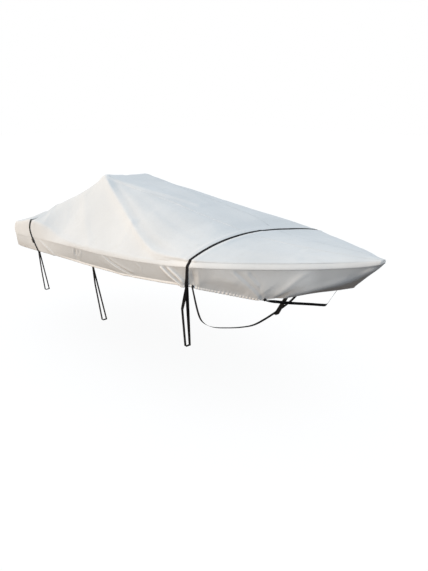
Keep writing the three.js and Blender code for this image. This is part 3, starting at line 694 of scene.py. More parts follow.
def crease_height(creases, px, py, scale_y=1.0):
    """Height of soft creases at places px, py: each fades towards its two ends."""
    height = np.zeros(px.shape)
    for half_width, rise, places in creases:
        line = np.array(places) * (1.0, scale_y)
        nearest = np.full(px.shape, np.inf)
        gone = np.zeros(px.shape)
        start = 0.0
        for (x0, y0), (x1, y1) in zip(line, line[1:]):
            length = math.hypot(x1 - x0, y1 - y0)
            along = ((px - x0) * (x1 - x0) + (py * scale_y - y0) * (y1 - y0)) / length ** 2
            along = np.clip(along, 0.0, 1.0)
            away = np.hypot(px - x0 - along * (x1 - x0), py * scale_y - y0 - along * (y1 - y0))
            gone = np.where(away < nearest, start + along * length, gone)
            nearest = np.minimum(nearest, away)
            start += length
        fade = np.clip(np.minimum(gone, start - gone) / CREASE_FADE, 0.0, 1.0)
        height += rise * fade * mound(nearest, half_width)
    return height


def lane_x(name, cover):
    """How far forward an over-strap lies in each column: it slips a little down the slope."""
    y = cover[row_at(STRAPS[name]), :, 1]
    slip, port_slip = STRAP_SLIP[name]
    within = np.clip(1 - (np.abs(y) / np.abs(y).max()) ** 4, 0, 1)
    grown = np.clip(SLIP_CROWN + np.abs(y) / SLIP_GROWTH, 0, 1)
    slipped = np.where(y > 0, port_slip, slip) * within * grown
    inner = np.abs(np.arange(len(y)) - HEM_AT) < KNEE_AT
    return STRAPS[name] + np.where(inner, slipped, 0.0)[None, :]


def running_height(x, y):
    """Height of the ridges and hollows that run along the hips and the gunwales."""
    lines = {"hip": section("hip_y", ROWS), "knee": section("knee_y", ROWS)}
    height = np.zeros(x.shape)
    for line, out, half_width, rise, from_x, to_x in RUNNING:
        ends = ramp(x, from_x, from_x + RUNNING_FADE[0]) * ramp(x, to_x, to_x - RUNNING_FADE[1])
        height += rise * ends * mound(y - lines[line][:, None] - out, half_width)
    return height


def way_down(cover):
    """The share of the way from the rub rail to the hem, on both skirts."""
    along = lengths_of(cover, 1)
    down = np.zeros(cover.shape[:2])
    starboard, port = slice(0, HEM_AT - RAIL_AT + 1), slice(HEM_AT + RAIL_AT, None)
    down[:, starboard] = 1 - along[:, starboard] / along[:, [HEM_AT - RAIL_AT]]
    past = along[:, port] - along[:, [HEM_AT + RAIL_AT]]
    down[:, port] = past / past[:, [-1]]
    return down


def slack(cover):
    """The soft unevenness of cloth that isn't drawn quite tight."""
    height = np.zeros(cover.shape[:2])
    for i, row in enumerate(cover):
        for k, point in enumerate(row):
            place = Vector(point)
            height[i, k] = sum(rise * noise.fractal(place / length, 1.0, 2.0, octaves)
                               for length, rise, octaves in SLACK)
    return height


def painted_light_and_shade(x, down, wall, skirt):
    """Paler above 0 and darker below 0, besides the creases: painted light and shade on the
    gunwale's wall, painted shade under the bow, and darker towards the hem at the stern.
    """
    pale = WALL_LIGHT_AT_STERN + sum(change * ramp(x, low, high) for low, high, change in WALL_LIGHT_STEPS)
    start = BOW_SHADE_START - BOW_SHADE_RISE * ramp(x, *BOW_SHADE_RISE_X)
    # Painted shade low on the skirt under the bow.
    bow_shade = ramp(x, *BOW_SHADE_X) * ramp(down, start, start + BOW_SHADE_LENGTH)
    # The skirt at the stern gets darker towards the hem.
    at_stern = down * ramp(x, *STERN_DARKENING_X)
    dark_share = BOW_SHADE * bow_shade + STERN_DARKENING * at_stern
    return np.where(wall, pale, 0.0) - np.where(skirt, dark_share, 0.0)


def cloth_detail(cover):
    """How far each point stands out along its normal, besides the main folds, and its painted light
    and shade.
    """
    rows, columns = cover.shape[:2]
    x = np.repeat(ROWS[:, None], columns, axis=1)
    y = np.abs(cover[:, :, 1])
    out = np.repeat(np.abs(np.arange(columns) - HEM_AT)[None, :], rows, axis=0)
    side = np.where(np.arange(columns) < HEM_AT, 1.0, PORT_SHARE)[None, :]
    top, skirt = out < KNEE_AT, out > RAIL_AT
    wall = (out >= KNEE_AT) & (out < RAIL_AT)
    down = way_down(cover)
    on_top = crease_height(CREASES_TOP, x, y) + running_height(x, y)
    on_skirt = crease_height(CREASES_SKIRT, x, down, SKIRT_SCALE) * ramp(down, 0, CREASE_START)
    height = np.where(top, on_top, 0.0) + np.where(skirt, on_skirt, 0.0)
    height *= side
    # Painted light and shade: a painted highlight on crease ridges, painted shade in crease
    # hollows, and the painted marks along the boat.
    relief = height / np.where(skirt, CREASE_LIGHT_SKIRT, CREASE_LIGHT_TOP) + painted_light_and_shade(x, down, wall, skirt)
    height += slack(cover)
    # The straps hold the cloth down, and it may puff up beside them.
    from_hem = np.minimum(lengths_of(cover, 1), lengths_of(cover[:, ::-1], 1)[:, ::-1])
    over = ramp(out, *PUFF_ENDS)
    for name, ahead, behind, dip, reach in STRAP_PUFFS:
        away = x - lane_x(name, cover)
        height *= 1 - STRAP_HOLD * flat_mound(away, HELD_WIDTH)
        height += over * ahead * mound(away - reach - PUFF_BEYOND, PUFF_WIDTH)
        height += over * behind * mound(away + reach + PUFF_BEYOND, PUFF_WIDTH)
        height -= over * dip * mound(away, reach)
    for name in ("mid", "belly", "bow"):
        sewn = flat_mound(x - STRAPS[name], SEWN_WIDTH) * flat_mound(from_hem, SEWN_UP)
        height *= 1 - STRAP_HOLD * sewn
    # Part of the hem is gathered; the rest of it is a plain fold, fuller from amidships on.
    aft, forward = GATHERED
    gathered = ramp(x, aft, aft + GATHER_FADE[0]) * ramp(x, forward, forward - GATHER_FADE[1])
    waves = np.sin(TURN * x / GATHER_WAVE + 1.7 * np.sin(x / GATHER_DRIFT))
    waves += 0.5 * np.sin(TURN * x / GATHER_RIPPLE + 1.0)
    height += GATHER_RISE * gathered * waves * mound(from_hem, GATHER_DEPTH)
    fullness = HEM_FULL + HEM_FULLER * ramp(x, *HEM_FULLER_X)
    height += fullness * np.sin(math.pi * np.clip(from_hem / HEM_FOLD, 0, 1) ** HEM_ROUND)
    # Little puckers that stitching draws in by the seams.
    puckers = np.sin(TURN * x / PUCKER_WAVE + np.sin(x / PUCKER_DRIFT))
    puckers *= PUCKER_RISE * np.sin(TURN * x / PUCKER_SWELL)
    for at in (SEAM_AT, RAIL_AT):
        height += puckers * mound(out - at - 0.5, PUCKER_COLUMNS)
    return height, relief


# The cover's outer face with its detail, its normals and painted light and shade, and how far along
# and across it each place lies.
COVER = whole_cover()
NORMAL = normals_of(COVER)
HEIGHT, LIGHT_AND_SHADE = cloth_detail(COVER)
COVER = COVER + NORMAL * HEIGHT[..., None]
NORMAL = normals_of(COVER)
ALONG = lengths_of(COVER, 0)
ACROSS = lengths_of(COVER, 1)


def cloth_piece(name, grids, material):
    """One cut piece: grids of its outer face, joined where they meet, and given thickness."""
    mesh = bpy.data.meshes.new(name)
    bm = bmesh.new()
    layer = bm.loops.layers.uv.new("cloth")
    # A layer of painted light and shade, which the cloth's material reads.
    painted_layer = bm.verts.layers.float.new("relief")
    for grid, along, across, relief in grids:
        places = metres(grid)
        points = [[bm.verts.new(p) for p in row] for row in places]
        for row, reliefs in zip(points, relief):
            for point, value in zip(row, reliefs):
                point[painted_layer] = value
        for i in range(len(points) - 1):
            for k in range(len(points[0]) - 1):
                corners = [(i, k), (i + 1, k), (i + 1, k + 1), (i, k + 1)]
                face = bm.faces.new([points[a][b] for a, b in corners])
                face.smooth = True
                for loop, (a, b) in zip(face.loops, corners):
                    loop[layer].uv = (along[a, b] / 1000, across[a, b] / 1000)
    bmesh.ops.remove_doubles(bm, verts=bm.verts, dist=2e-5)
    bmesh.ops.dissolve_degenerate(bm, dist=1e-6, edges=bm.edges)
    bm.to_mesh(mesh)
    bm.free()
    piece = in_scene(name, mesh)
    mesh.materials.append(material)
    wall = piece.modifiers.new("thickness", "SOLIDIFY")
    wall.thickness, wall.offset = WEAVE / 1000, -1.0
    settle(piece)
    return piece


def settle(piece):
    """Turn the piece's modifiers into its plain mesh."""
    graph = bpy.context.evaluated_depsgraph_get()
    mesh = bpy.data.meshes.new_from_object(piece.evaluated_get(graph))
    piece.modifiers.clear()
    old, piece.data = piece.data, mesh
    bpy.data.meshes.remove(old)
    mesh.name = piece.name


def lapped_grid(low, high, lap_low=False, lap_high=False):
    """Columns low to high of the cover; a lapped edge reaches over the next piece."""
    columns = slice(low - lap_low, high + lap_high + 1)
    grid = COVER[:, columns].copy()
    if lap_low:
        grid[:, :2] += NORMAL[:, columns][:, :2] * LAP_RISE
    if lap_high:
        grid[:, -2:] += NORMAL[:, columns][:, -2:] * LAP_RISE
    return grid, ALONG[:, columns], ACROSS[:, columns], LIGHT_AND_SHADE[:, columns]


def nose_rows():
    """The blunt end of the bow: rows down from the top's last row to the rub rail."""
    edge = COVER[-1, HEM_AT - KNEE_AT:HEM_AT + KNEE_AT + 1]
    starboard = COVER[-1, HEM_AT - RAIL_AT:HEM_AT - KNEE_AT + 1][::-1]
    port = COVER[-1, HEM_AT + KNEE_AT:HEM_AT + RAIL_AT + 1]
    foot = starboard[-1]
    rows = [edge]
    for j in range(1, RAIL_AT - KNEE_AT + 1):
        share = j / (RAIL_AT - KNEE_AT)
        row = edge.copy()
        row[:, 0] += (foot[0] - edge[:, 0]) * share
        row[:, 2] += (foot[2] - edge[:, 2]) * share
        row[0], row[-1] = starboard[j], port[j]
        rows.append(row)
    return np.array(rows)


BOW_STEPS = 6  # rows of cloth from the corner of the nose to the stem
STERN_DROP = 2.0  # how far the stern's hem hangs below the skirts' corners
STERN_FOLDS = ((7, 260), (3, 90))  # the stern's slack: how deep, and how long its waves are
NOSE = nose_rows()
NOSE_DOWN = lengths_of(NOSE, 0)
NOSE_OVER = lengths_of(NOSE, 1)


def nose_grid(low, high):
    """The part of the nose's rows between two columns of the cover."""
    first = max(low, HEM_AT - KNEE_AT) - (HEM_AT - KNEE_AT)
    last = min(high, HEM_AT + KNEE_AT) - (HEM_AT - KNEE_AT)
    columns = slice(first, last + 1)
    # The nose's painted highlight, all over.
    relief = np.full(NOSE[:, columns, 0].shape, NOSE_PAINTED_LIGHT)
    return NOSE[:, columns], NOSE_DOWN[:, columns], NOSE_OVER[:, columns], relief


def bow_grid(side):
    """The skirt's last rows, from the corner of the nose round to the seam down the stem."""
    if side < 0:
        last = COVER[-1, :HEM_AT - RAIL_AT + 1]
        rail = NOSE[-1, :KNEE_AT + 1]
    else:
        last = COVER[-1, HEM_AT + RAIL_AT:]
        rail = NOSE[-1, KNEE_AT:][::-1]
    spots = rail[np.linspace(0, len(rail) - 1, BOW_STEPS + 1).astype(int)]
    top, foot = (last[-1], last[0]) if side < 0 else (last[0], last[-1])
    share = 1 - np.linalg.norm(last - top, axis=-1) / np.linalg.norm(foot - top)
    rows = np.array([last + (spot - top) * share[:, None] for spot in spots])
    part = rows, lengths_of(rows, 0), lengths_of(rows, 1), np.zeros(rows.shape[:2])
    return part if side < 0 else from_hem_up(part)


def transom_grid():
    """The stern's cloth, from the hem up to the top's aft edge."""
    columns = slice(HEM_AT - KNEE_AT, HEM_AT + KNEE_AT + 1)
    edge = COVER[0, columns]
    starboard = COVER[0, :HEM_AT - KNEE_AT + 1][::-1]
    port = COVER[0, HEM_AT + KNEE_AT:]
    rows = []
    for corner, other in zip(starboard, port):
        share = (starboard[0][2] - corner[2]) / (starboard[0][2] - starboard[-1][2])
        row = edge.copy()
        row[:, 0] = corner[0]
        row[:, 1] = edge[:, 1] * corner[1] / starboard[0][1]
        row[:, 2] = edge[:, 2] + (starboard[-1][2] - STERN_DROP - edge[:, 2]) * share
        row[0], row[-1] = corner, other
        if share == 0:
            row = edge.copy()
        for k in range(1, len(row) - 1):
            place = Vector(row[k])
            fade = math.sin(math.pi * share) * math.sin(math.pi * k / len(row))
            row[k, 0] += fade * sum(deep * noise.noise(place / wave) for deep, wave in STERN_FOLDS)
        rows.append(row)
    rows = np.array(rows[::-1])
    return rows, lengths_of(rows, 1), lengths_of(rows, 0), np.zeros(rows.shape[:2])


def from_hem_up(part):
    """The same grid with the lengths across it counted from its last column, the hem."""
    grid, along, across, relief = part
    return grid, along, across[:, -1:] - across, relief


def is_hung(node):
    """Whether a piece hangs from its upper edge only, as the skirts and the stern do."""
    return "skirt" in node or "transom" in node


def add_cloth():
    """Every sewn piece of the cover, by the name of its solid."""
    middle_low, middle_high = HEM_AT - SEAM_AT, HEM_AT + SEAM_AT
    pieces = {
        "centre_panel": [lapped_grid(middle_low, middle_high, lap_low=True, lap_high=True),
                         nose_grid(middle_low, middle_high)],
        "starboard_side_panel": [lapped_grid(HEM_AT - RAIL_AT, middle_low, lap_low=True),
                                 nose_grid(HEM_AT - RAIL_AT, middle_low)],
        "port_side_panel": [lapped_grid(middle_high, HEM_AT + RAIL_AT, lap_high=True),
                            nose_grid(middle_high, HEM_AT + RAIL_AT)],
        "starboard_skirt": [lapped_grid(0, HEM_AT - RAIL_AT), bow_grid(-1)],
        "port_skirt": [from_hem_up(lapped_grid(HEM_AT + RAIL_AT, 2 * HEM_AT)), bow_grid(1)],
        "transom_panel": [transom_grid()],
    }
    made = {}
    for node, grids in pieces.items():
        if is_hung(node):
            piece = cloth_piece(node + "_cloth", grids, SHADED_SKIRT_CLOTH)
        else:
            piece = cloth_piece(node + "_cloth", grids, COVER_CLOTH)
        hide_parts(node)
        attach(piece, "root")
        made[node] = piece
    return made


CLOTH_PIECES = add_cloth()


# ---- webbing ----
# A tie goes from the hem by a place at the boat's side to the rail's outer lower edge:
TIES = {
    "rear": ((434, 838, 684), (360, 780, 427)),
    "mid": ((1580, 833, 800), (1520, 740, 372)),
    "front": ((2876, 772, 873), (2725, 620, 435)),
}
TIE_CORNER = 7.0  # radius of a tie's bends
INNER_STRAND = 4.0  # how far the strand that comes back lies inside the first
SEWN_END, SEWN_POINTS = 30.0, 7  # length of a sewn end, up from the hem, and points along it
TIE_BELOW, STRAP_BELOW = 6.0, 4.0  # how far each goes on below the hem before it turns
BOW_FLARE = (0.35, 0.90, 0.20)  # the way the hull's side faces at the bow: ahead, aside, below
KEEL_HALF = 120.0  # half the breadth over which the two sides meet
TURNING = {"belly": 16, "bow": 7}  # points in which a strap turns from the hem's way to its own
UNDER_POINTS = 90  # points of a strap's line under the hull
KEY_STEPS = 24  # steps of a smooth line from one of its keys to the next
WEB_PITCH = 9.0  # length of one row of webbing's faces
LEAST_STEP = 1.0  # points closer together than this are left out
PATH_POINTS = 40  # points that state a cord's route
GAP = 1.0  # between webbing and cloth
OUTSIDE = WEB_THICK / 2 + GAP  # from the cloth's outer face to the webbing's middle
INSIDE = -(CLOTH + GAP + WEB_THICK / 2)
STRAIGHT = 2.6  # an angle of a line, in radians, from which its corner stays as it is
EVENNESS = 0.004  # how much a cord's points are spread, beside how much they hold its shape
# Routes under the hull on the port side, from the hem inwards; the starboard side mirrors them.
BELLY_ROUTE = ((2998, 702, 864), (2988, 640, 752), (2983, 520, 672), (2980, 340, 615),
               (2978, 160, 572))
BELLY_KEEL = (2978, 0, 552)
BOW_ROUTE = ((3676, 330, 1034), (3738, 160, 1000), (3778, 40, 974))
BOW_STEM = (3788, 0, 967)
FORWARD = np.array([1.0, 0.0, 0.0])


def lane(name, columns, away):
    """Places over the cover's cloth along one strap, and the directions of the strap's width."""
    if name in STRAP_SLIP:
        at = lane_x(name, COVER)[0]
    else:
        at = np.full(COVER.shape[1], STRAPS[name])
    row = np.interp(at, ROWS, np.arange(len(ROWS)))
    low = np.minimum(row.astype(int), len(ROWS) - 2)
    k = np.arange(COVER.shape[1])
    share = (row - low)[:, None]
    points = COVER[low, k] * (1 - share) + COVER[low + 1, k] * share
    normals = NORMAL[low, k] * (1 - share) + NORMAL[low + 1, k] * share
    widths = COVER[low + 1, k] - COVER[low - 1, k]
    widths /= np.linalg.norm(widths, axis=-1)[:, None]
    return (points + normals * away)[columns], widths[columns]


def skirt_lane(name, side, away):
    """The same down one skirt, from the rub rail to the hem."""
    starboard, port = slice(HEM_AT - RAIL_AT, None, -1), slice(HEM_AT + RAIL_AT, None)
    return lane(name, starboard if side < 0 else port, away)


def sewn_end(name, side, away, below):
    """The end of a strap that is sewn to the cloth, and then stands a little below the hem."""
    points, widths = skirt_lane(name, side, away)
    line = places_at(np.linspace(SEWN_END, 0.0, SEWN_POINTS), points[::-1])
    stand = line[-1] - unit(line[0] - line[-1]) * below
    line = np.concatenate([line, stand[None]])
    return line, np.repeat(widths[-1][None], len(line), axis=0)


def rounded(points, radius, steps=5):
    """Points of a line with its tight corners rounded."""
    line = [points[0]]
    for before, corner, after in zip(points, points[1:], points[2:]):
        back, away = unit(before - corner), unit(after - corner)
        bend = math.acos(max(-1.0, min(1.0, float(back @ away))))
        if bend > STRAIGHT:
            line.append(corner)
            continue
        reach = radius / math.tan(bend / 2)
        start, end = corner + back * reach, corner + away * reach
        for k in range(steps + 1):
            t = k / steps
            line.append((start * (1 - t) + corner * t) * (1 - t) + (corner * (1 - t) + end * t) * t)
    line.append(points[-1])
    return line


def tie_line(name, side):
    """A tie-down from its hem, by way of the trailer's rail, to the inside of the hem."""
    waist, outer = np.array(TIES[name], dtype=float) * (1, side, 1)
    inner = outer - (0, side * RAIL_WIDTH, 0)
    end, end_widths = sewn_end(name, side, INSIDE - INNER_STRAND, TIE_BELOW)
    first = INSIDE if name == "mid" else OUTSIDE
    start, start_widths = sewn_end(name, side, first, TIE_BELOW)
    if name != "mid":
        start, start_widths = start[-1:], start_widths[-1:]
    strand = rounded([start[-1], waist, outer, inner, end[-1]], TIE_CORNER)[1:-1]
    ahead = np.repeat(FORWARD[None], len(strand), axis=0)
    return (np.concatenate([start, strand, end[::-1]]),
            np.concatenate([start_widths, ahead, end_widths]))


def over_line(name):
    """A strap over the whole cover with its tie-downs, in one length."""
    over, widths = lane(name, slice(0, 2 * HEM_AT + 1), OUTSIDE)
    one, one_widths = tie_line(name, -1)
    two, two_widths = tie_line(name, 1)
    return (np.concatenate([one[::-1], over, two]),
            np.concatenate([one_widths[::-1], widths, two_widths]))


def smooth_line(keys, count):
    """Points along a smooth curve through the keys, evenly spaced."""
    keys = np.asarray(keys, dtype=float)
    padded = np.concatenate([[2 * keys[0] - keys[1]], keys, [2 * keys[-1] - keys[-2]]])
    line = []
    for a, b, c, d in zip(padded, padded[1:], padded[2:], padded[3:]):
        for t in np.linspace(0, 1, KEY_STEPS, endpoint=False):
            line.append(0.5 * (2 * b + (c - a) * t + (2 * a - 5 * b + 4 * c - d) * t ** 2
                               + (3 * b - a - 3 * c + d) * t ** 3))
    line = np.array(line + [keys[-1]])
    return places_at(np.linspace(0, lengths_of(line, 0)[-1], count), line)


def lying_widths(points):
    """Directions of a strap's width where it lies flat on the bow's flared sides."""
    ahead, aside, below = BOW_FLARE
    faces = np.tile([ahead, aside, -below], (len(points), 1))
    faces[:, 1] *= np.clip(points[:, 1] / KEEL_HALF, -1, 1)
    width = np.cross(faces, np.gradient(points, axis=0))
    return width / np.linalg.norm(width, axis=-1)[:, None]


def under_line(name, route, keel):
    """A strap under the hull, sewn to the hem at both ends."""
    start, start_widths = sewn_end(name, -1, OUTSIDE, STRAP_BELOW)
    end, end_widths = sewn_end(name, 1, OUTSIDE, STRAP_BELOW)
    starboard, port = [np.multiply(route, (1, side, 1)) for side in (-1, 1)]
    points = smooth_line([start[-1], *starboard, keel, *port[::-1], end[-1]], UNDER_POINTS)
    across = lying_widths(points) if name == "bow" else FORWARD
    i = np.arange(UNDER_POINTS)[:, None]
    near = np.where(i < UNDER_POINTS / 2, start_widths[0], end_widths[0])
    share = np.minimum(1, np.minimum(i, UNDER_POINTS - 1 - i) / TURNING[name])
    widths = near * (1 - share) + across * share
    return (np.concatenate([start[:-1], points, end[:-1][::-1]]),
            np.concatenate([start_widths[:-1], widths, end_widths[:-1]]))


def even_line(points, widths, pitch):
    """The same line with its points an even pitch apart, and none lost at its tight bends."""
    kept, kept_widths = [points[0]], [widths[0]]
    for a, b, wa, wb in zip(points, points[1:], widths, widths[1:]):
        steps = max(1, round(float(np.linalg.norm(b - a)) / pitch))
        for k in range(1, steps + 1):
            kept.append(a + (b - a) * k / steps)
            kept_widths.append(wa + (wb - wa) * k / steps)
    points, widths = np.array(kept), np.array(kept_widths)
    far = [0]
    for i in range(1, len(points)):
        if np.linalg.norm(points[i] - points[far[-1]]) > LEAST_STEP or i == len(points) - 1:
            far.append(i)
    return points[far], widths[far]


def telling_points(points, count):
    """So many of a line's points, those that hold its shape best, in order."""
    kept = [0, len(points) - 1]
    while len(kept) < count:
        worst, where = -1.0, None
        for a, b in zip(kept, kept[1:]):
            if b - a < 2:
                continue
            chord = points[b] - points[a]
            length = np.linalg.norm(chord)
            beyond = points[a + 1:b] - points[a]
            away = np.linalg.norm(beyond - np.outer(beyond @ chord, chord) / length ** 2, axis=-1)
            middle = 1 - np.abs(np.linspace(-1, 1, b - a + 1))[1:-1]
            score = away + EVENNESS * length * middle
            if score.max() > worst:
                worst, where = score.max(), a + 1 + int(np.argmax(score))
        kept = sorted(kept + [where])
    return points[kept]


def webbing_ring():
    """The webbing's cross-section: flat faces, rounded selvedges."""
    thick = WEB_THICK / 2
    inset = WEB_WIDTH / 2 - thick
    turns = (math.pi / 4, math.pi / 2, 3 * math.pi / 4)
    ring = []
    for side in (1, -1):
        ring += [(side * w * inset, side * thick) for w in (-1, -0.33, 0.33, 1)]
        ring += [(side * (inset + thick * math.sin(a)), side * thick * math.cos(a)) for a in turns]
    return ring


def webbing_band(name, points, widths):
    """A length of webbing along a line, as a closed mesh with its own two lengths as UVs."""
    points, widths = even_line(points, widths, WEB_PITCH)
    gone = lengths_of(points, 0)
    tangents = np.gradient(points, axis=0)
    ring = webbing_ring()
    size = len(ring)
    places, uvs = [], []
    for point, width, tangent, far in zip(points, widths, tangents, gone):
        tangent = unit(tangent)
        wide = unit(width - tangent * (width @ tangent))
        out = np.cross(wide, tangent)
        for w, t in ring:
            places.append(metres(point + wide * w + out * t))
            uvs.append((far / 1000, (w + WEB_WIDTH / 2) / 1000))
    faces = []
    for i in range(len(points) - 1):
        for k in range(size):
            n = (k + 1) % size
            faces.append((i * size + k, (i + 1) * size + k, (i + 1) * size + n, i * size + n))
    faces.append(tuple(range(size)))
    faces.append(tuple(range(len(places) - 1, len(places) - 1 - size, -1)))
    mesh = bpy.data.meshes.new(name)
    mesh.from_pydata(places, [], faces)
    layer = mesh.uv_layers.new(name="cloth")
    for loop in mesh.loops:
        layer.data[loop.index].uv = uvs[loop.vertex_index]
    for face in mesh.polygons:
        face.use_smooth = len(face.vertices) == 4
    mesh.materials.append(WEBBING)
    piece = in_scene(name, mesh)
    outward(piece)
    return piece, metres(points), gone[-1] / 1000


def outward(piece):
    """Turn all of a mesh's normals outward."""
    bm = bmesh.new()
    bm.from_mesh(piece.data)
    bmesh.ops.recalc_face_normals(bm, faces=bm.faces)
    bm.to_mesh(piece.data)
    bm.free()


def add_webbing():
    lines = {
        "rear_strap": over_line("rear"),
        "front_strap": over_line("front"),
        "starboard_mid_tie": tie_line("mid", -1),
        "port_mid_tie": tie_line("mid", 1),
        "belly_strap": under_line("belly", BELLY_ROUTE, BELLY_KEEL),
        "bow_strap": under_line("bow", BOW_ROUTE, BOW_STEM),
    }
    for node, (points, widths) in lines.items():
        piece, path, length = webbing_band(node + "_webbing", points, widths)
        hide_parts(node)
        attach(piece, "root")
        telling_points(path, PATH_POINTS).tolist()


add_webbing()


# ---- the rear strap's buckle: a frame with cross bars, and the cam lever that locks it ----
BUCKLE_WIDTH, BUCKLE_LENGTH = 41.0, 50.0
BUCKLE_PLACE = 6  # columns down the skirt from the rub rail
CHEEK, CHEEK_RISE, CHEEK_EDGE = 4.0, 7.0, 1.4  # a side's thickness, height and rounding
# Blocks across the buckle: how far in from both sides, from and to how far out, from and to how
# far along, and their rounding.
FRAME_BARS = (
    (3.4, 1.4, 5.0, -25.0, -19.0, 1.1),
    (3.4, 1.4, 4.2, -7.0, -1.0, 1.1),
    (3.4, 1.4, 5.0, 19.0, 25.0, 1.1),
)
LEVER_PLATE = (5.2, 4.6, 7.4, -18.0, 17.0, 1.2)
LEVER_RIB, RIB_COUNT, RIB_STEP = (7.0, 7.0, 8.3, 13.2, 14.8, 0.5), 5, 3.4
LEVER_BEND = 1.2  # how far the lever's free end bends out


def rounded_block(bm, low, high, edge):
    """A box between two corners, its edges rounded; it gives the box's points."""
    before = len(bm.verts)
    made = bmesh.ops.create_cube(bm, size=1.0)["verts"]
    for vert in made:
        vert.co = Vector(low[k] if vert.co[k] < 0 else high[k] for k in range(3))
    edges = list({e for vert in made for e in vert.link_edges})
    bmesh.ops.bevel(bm, geom=edges, offset=edge, segments=3, affect="EDGES", profile=0.5)
    bm.verts.ensure_lookup_table()
    return bm.verts[before:]


def cross_block(bm, block, back=0.0):
    """One of the blocks across the buckle, moved back along it."""
    inset, low, high, start, end, edge = block
    half = BUCKLE_WIDTH / 2
    low_corner, high_corner = (inset - half, low, start - back), (half - inset, high, end - back)
    return rounded_block(bm, low_corner, high_corner, edge)


def add_buckle():
    """The buckle, made flat in millimetres (across, out, along) and then laid on its strap."""
    bm = bmesh.new()
    half, length = BUCKLE_WIDTH / 2, BUCKLE_LENGTH / 2
    under = -WEB_THICK / 2
    for low, high in ((-half, CHEEK - half), (half - CHEEK, half)):
        rounded_block(bm, (low, under, -length), (high, CHEEK_RISE, length), CHEEK_EDGE)
    for bar in FRAME_BARS:
        cross_block(bm, bar)
    lever = cross_block(bm, LEVER_PLATE)
    for rib in range(RIB_COUNT):
        lever += cross_block(bm, LEVER_RIB, rib * RIB_STEP)
    for vert in lever:
        vert.co.y += LEVER_BEND * ((vert.co.z + length) / (2 * length)) ** 2
    strap, widths = skirt_lane("rear", -1, OUTSIDE)
    place = strap[BUCKLE_PLACE]
    along = unit(strap[BUCKLE_PLACE + 2] - strap[BUCKLE_PLACE - 2])
    across = unit(widths[BUCKLE_PLACE] - along * (widths[BUCKLE_PLACE] @ along))
    out = np.cross(along, across)
    if out @ NORMAL[row_at(STRAPS["rear"]), HEM_AT - RAIL_AT - BUCKLE_PLACE] < 0:
        out = -out
    for vert in bm.verts:
        spot = place + across * vert.co.x + out * vert.co.y + along * vert.co.z
        vert.co = Vector(metres(spot))
    bmesh.ops.recalc_face_normals(bm, faces=bm.faces)
    mesh = bpy.data.meshes.new("rear_strap_buckle")
    bm.to_mesh(mesh)
    bm.free()
    for face in mesh.polygons:
        face.use_smooth = True
    mesh.materials.append(BUCKLE_PLASTIC)
    buckle = in_scene("rear_strap_buckle", mesh)
    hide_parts("rear_buckle")
    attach(buckle, "root")


add_buckle()


# ---- stitching, a row of threads along each seam and hem ----
STITCH_PITCH, STITCH_LENGTH, STITCH_THICK = 7.0, 4.6, 0.9
STITCH_PROUD = 0.15  # how far the middle of a stitch stands out from the cloth
SEAM_INSETS = (3.0, LAP - 3.0)  # the rows' distances from the edge that they sew
RAIL_INSET, HEM_INSET = 4.0, 6.0


def stitch_nodes():
    """A node group that sews: it lays small threads along the edges that it is given."""
    group = bpy.data.node_groups.new("sewing", "GeometryNodeTree")
    sockets = {"Seams": "Geometry", "Pitch": "Float", "Length": "Float", "Thickness": "Float",
               "Thread": "Material"}
    for name, kind in sockets.items():
        group.interface.new_socket(name, in_out="INPUT", socket_type="NodeSocket" + kind)
    group.interface.new_socket("Stitches", in_out="OUTPUT", socket_type="NodeSocketGeometry")
    shop = Shop(group, prefix="")
    given = {name: shop.node("NodeGroupInput", output=name) for name in sockets}
    seam = shop.node("GeometryNodeMeshToCurve", None, {"Mesh": given["Seams"]})
    spots = shop.node("GeometryNodeResampleCurve", {"mode": "LENGTH"},
                      {"Curve": seam, "Length": given["Pitch"]})
    turned = shop.node("FunctionNodeAlignRotationToVector", {"axis": "X"},
                       {"Vector": shop.node("GeometryNodeInputTangent")})
    grain = shop.node("GeometryNodeMeshIcoSphere", None, {"Radius": 0.5, "Subdivisions": 1})
    size = shop.node("ShaderNodeCombineXYZ", None, {"X": given["Length"], "Y": given["Thickness"],
                                                    "Z": given["Thickness"]})
    thread = shop.node("GeometryNodeTransform", None, {"Geometry": grain, "Scale": size})
    laid = shop.node("GeometryNodeInstanceOnPoints", None,
                     {"Points": spots, "Instance": thread, "Rotation": turned})
    real = shop.node("GeometryNodeRealizeInstances", None, {"Geometry": laid})
    smooth = shop.node("GeometryNodeSetShadeSmooth", None, {"Geometry": real})
    sewn = shop.node("GeometryNodeSetMaterial", None,
                     {"Geometry": smooth, "Material": given["Thread"]})
    shop.node("NodeGroupOutput", None, {"Stitches": sewn}, output=None)
    return group


SEWING = stitch_nodes()


def sew(name, lines):
    """One object of stitches along lines of places in the boat's frame."""
    mesh = bpy.data.meshes.new(name)
    places, edges = [], []
    for line in lines:
        first = len(places)
        places += [tuple(p) for p in metres(line)]
        edges += [(k, k + 1) for k in range(first, len(places) - 1)]
    mesh.from_pydata(places, edges, [])
    stitches = in_scene(name, mesh)
    modifier = stitches.modifiers.new("sewing", "NODES")
    modifier.node_group = SEWING
    sizes = {"Pitch": STITCH_PITCH / 1000, "Length": STITCH_LENGTH / 1000,
             "Thickness": STITCH_THICK / 1000, "Thread": THREAD}
    for socket in SEWING.interface.items_tree:
        if socket.name in sizes:
            modifier[socket.identifier] = sizes[socket.name]
    settle(stitches)
    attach(stitches, "root")
    return stitches


def beside(column, away, step):
    """A line over the cloth, some way from one column towards the column a step on."""
    here, other = COVER[:, column], COVER[:, column + step]
    gap = np.linalg.norm(other - here, axis=-1)[:, None]
    return here + (other - here) * (away / gap) + NORMAL[:, column] * STITCH_PROUD


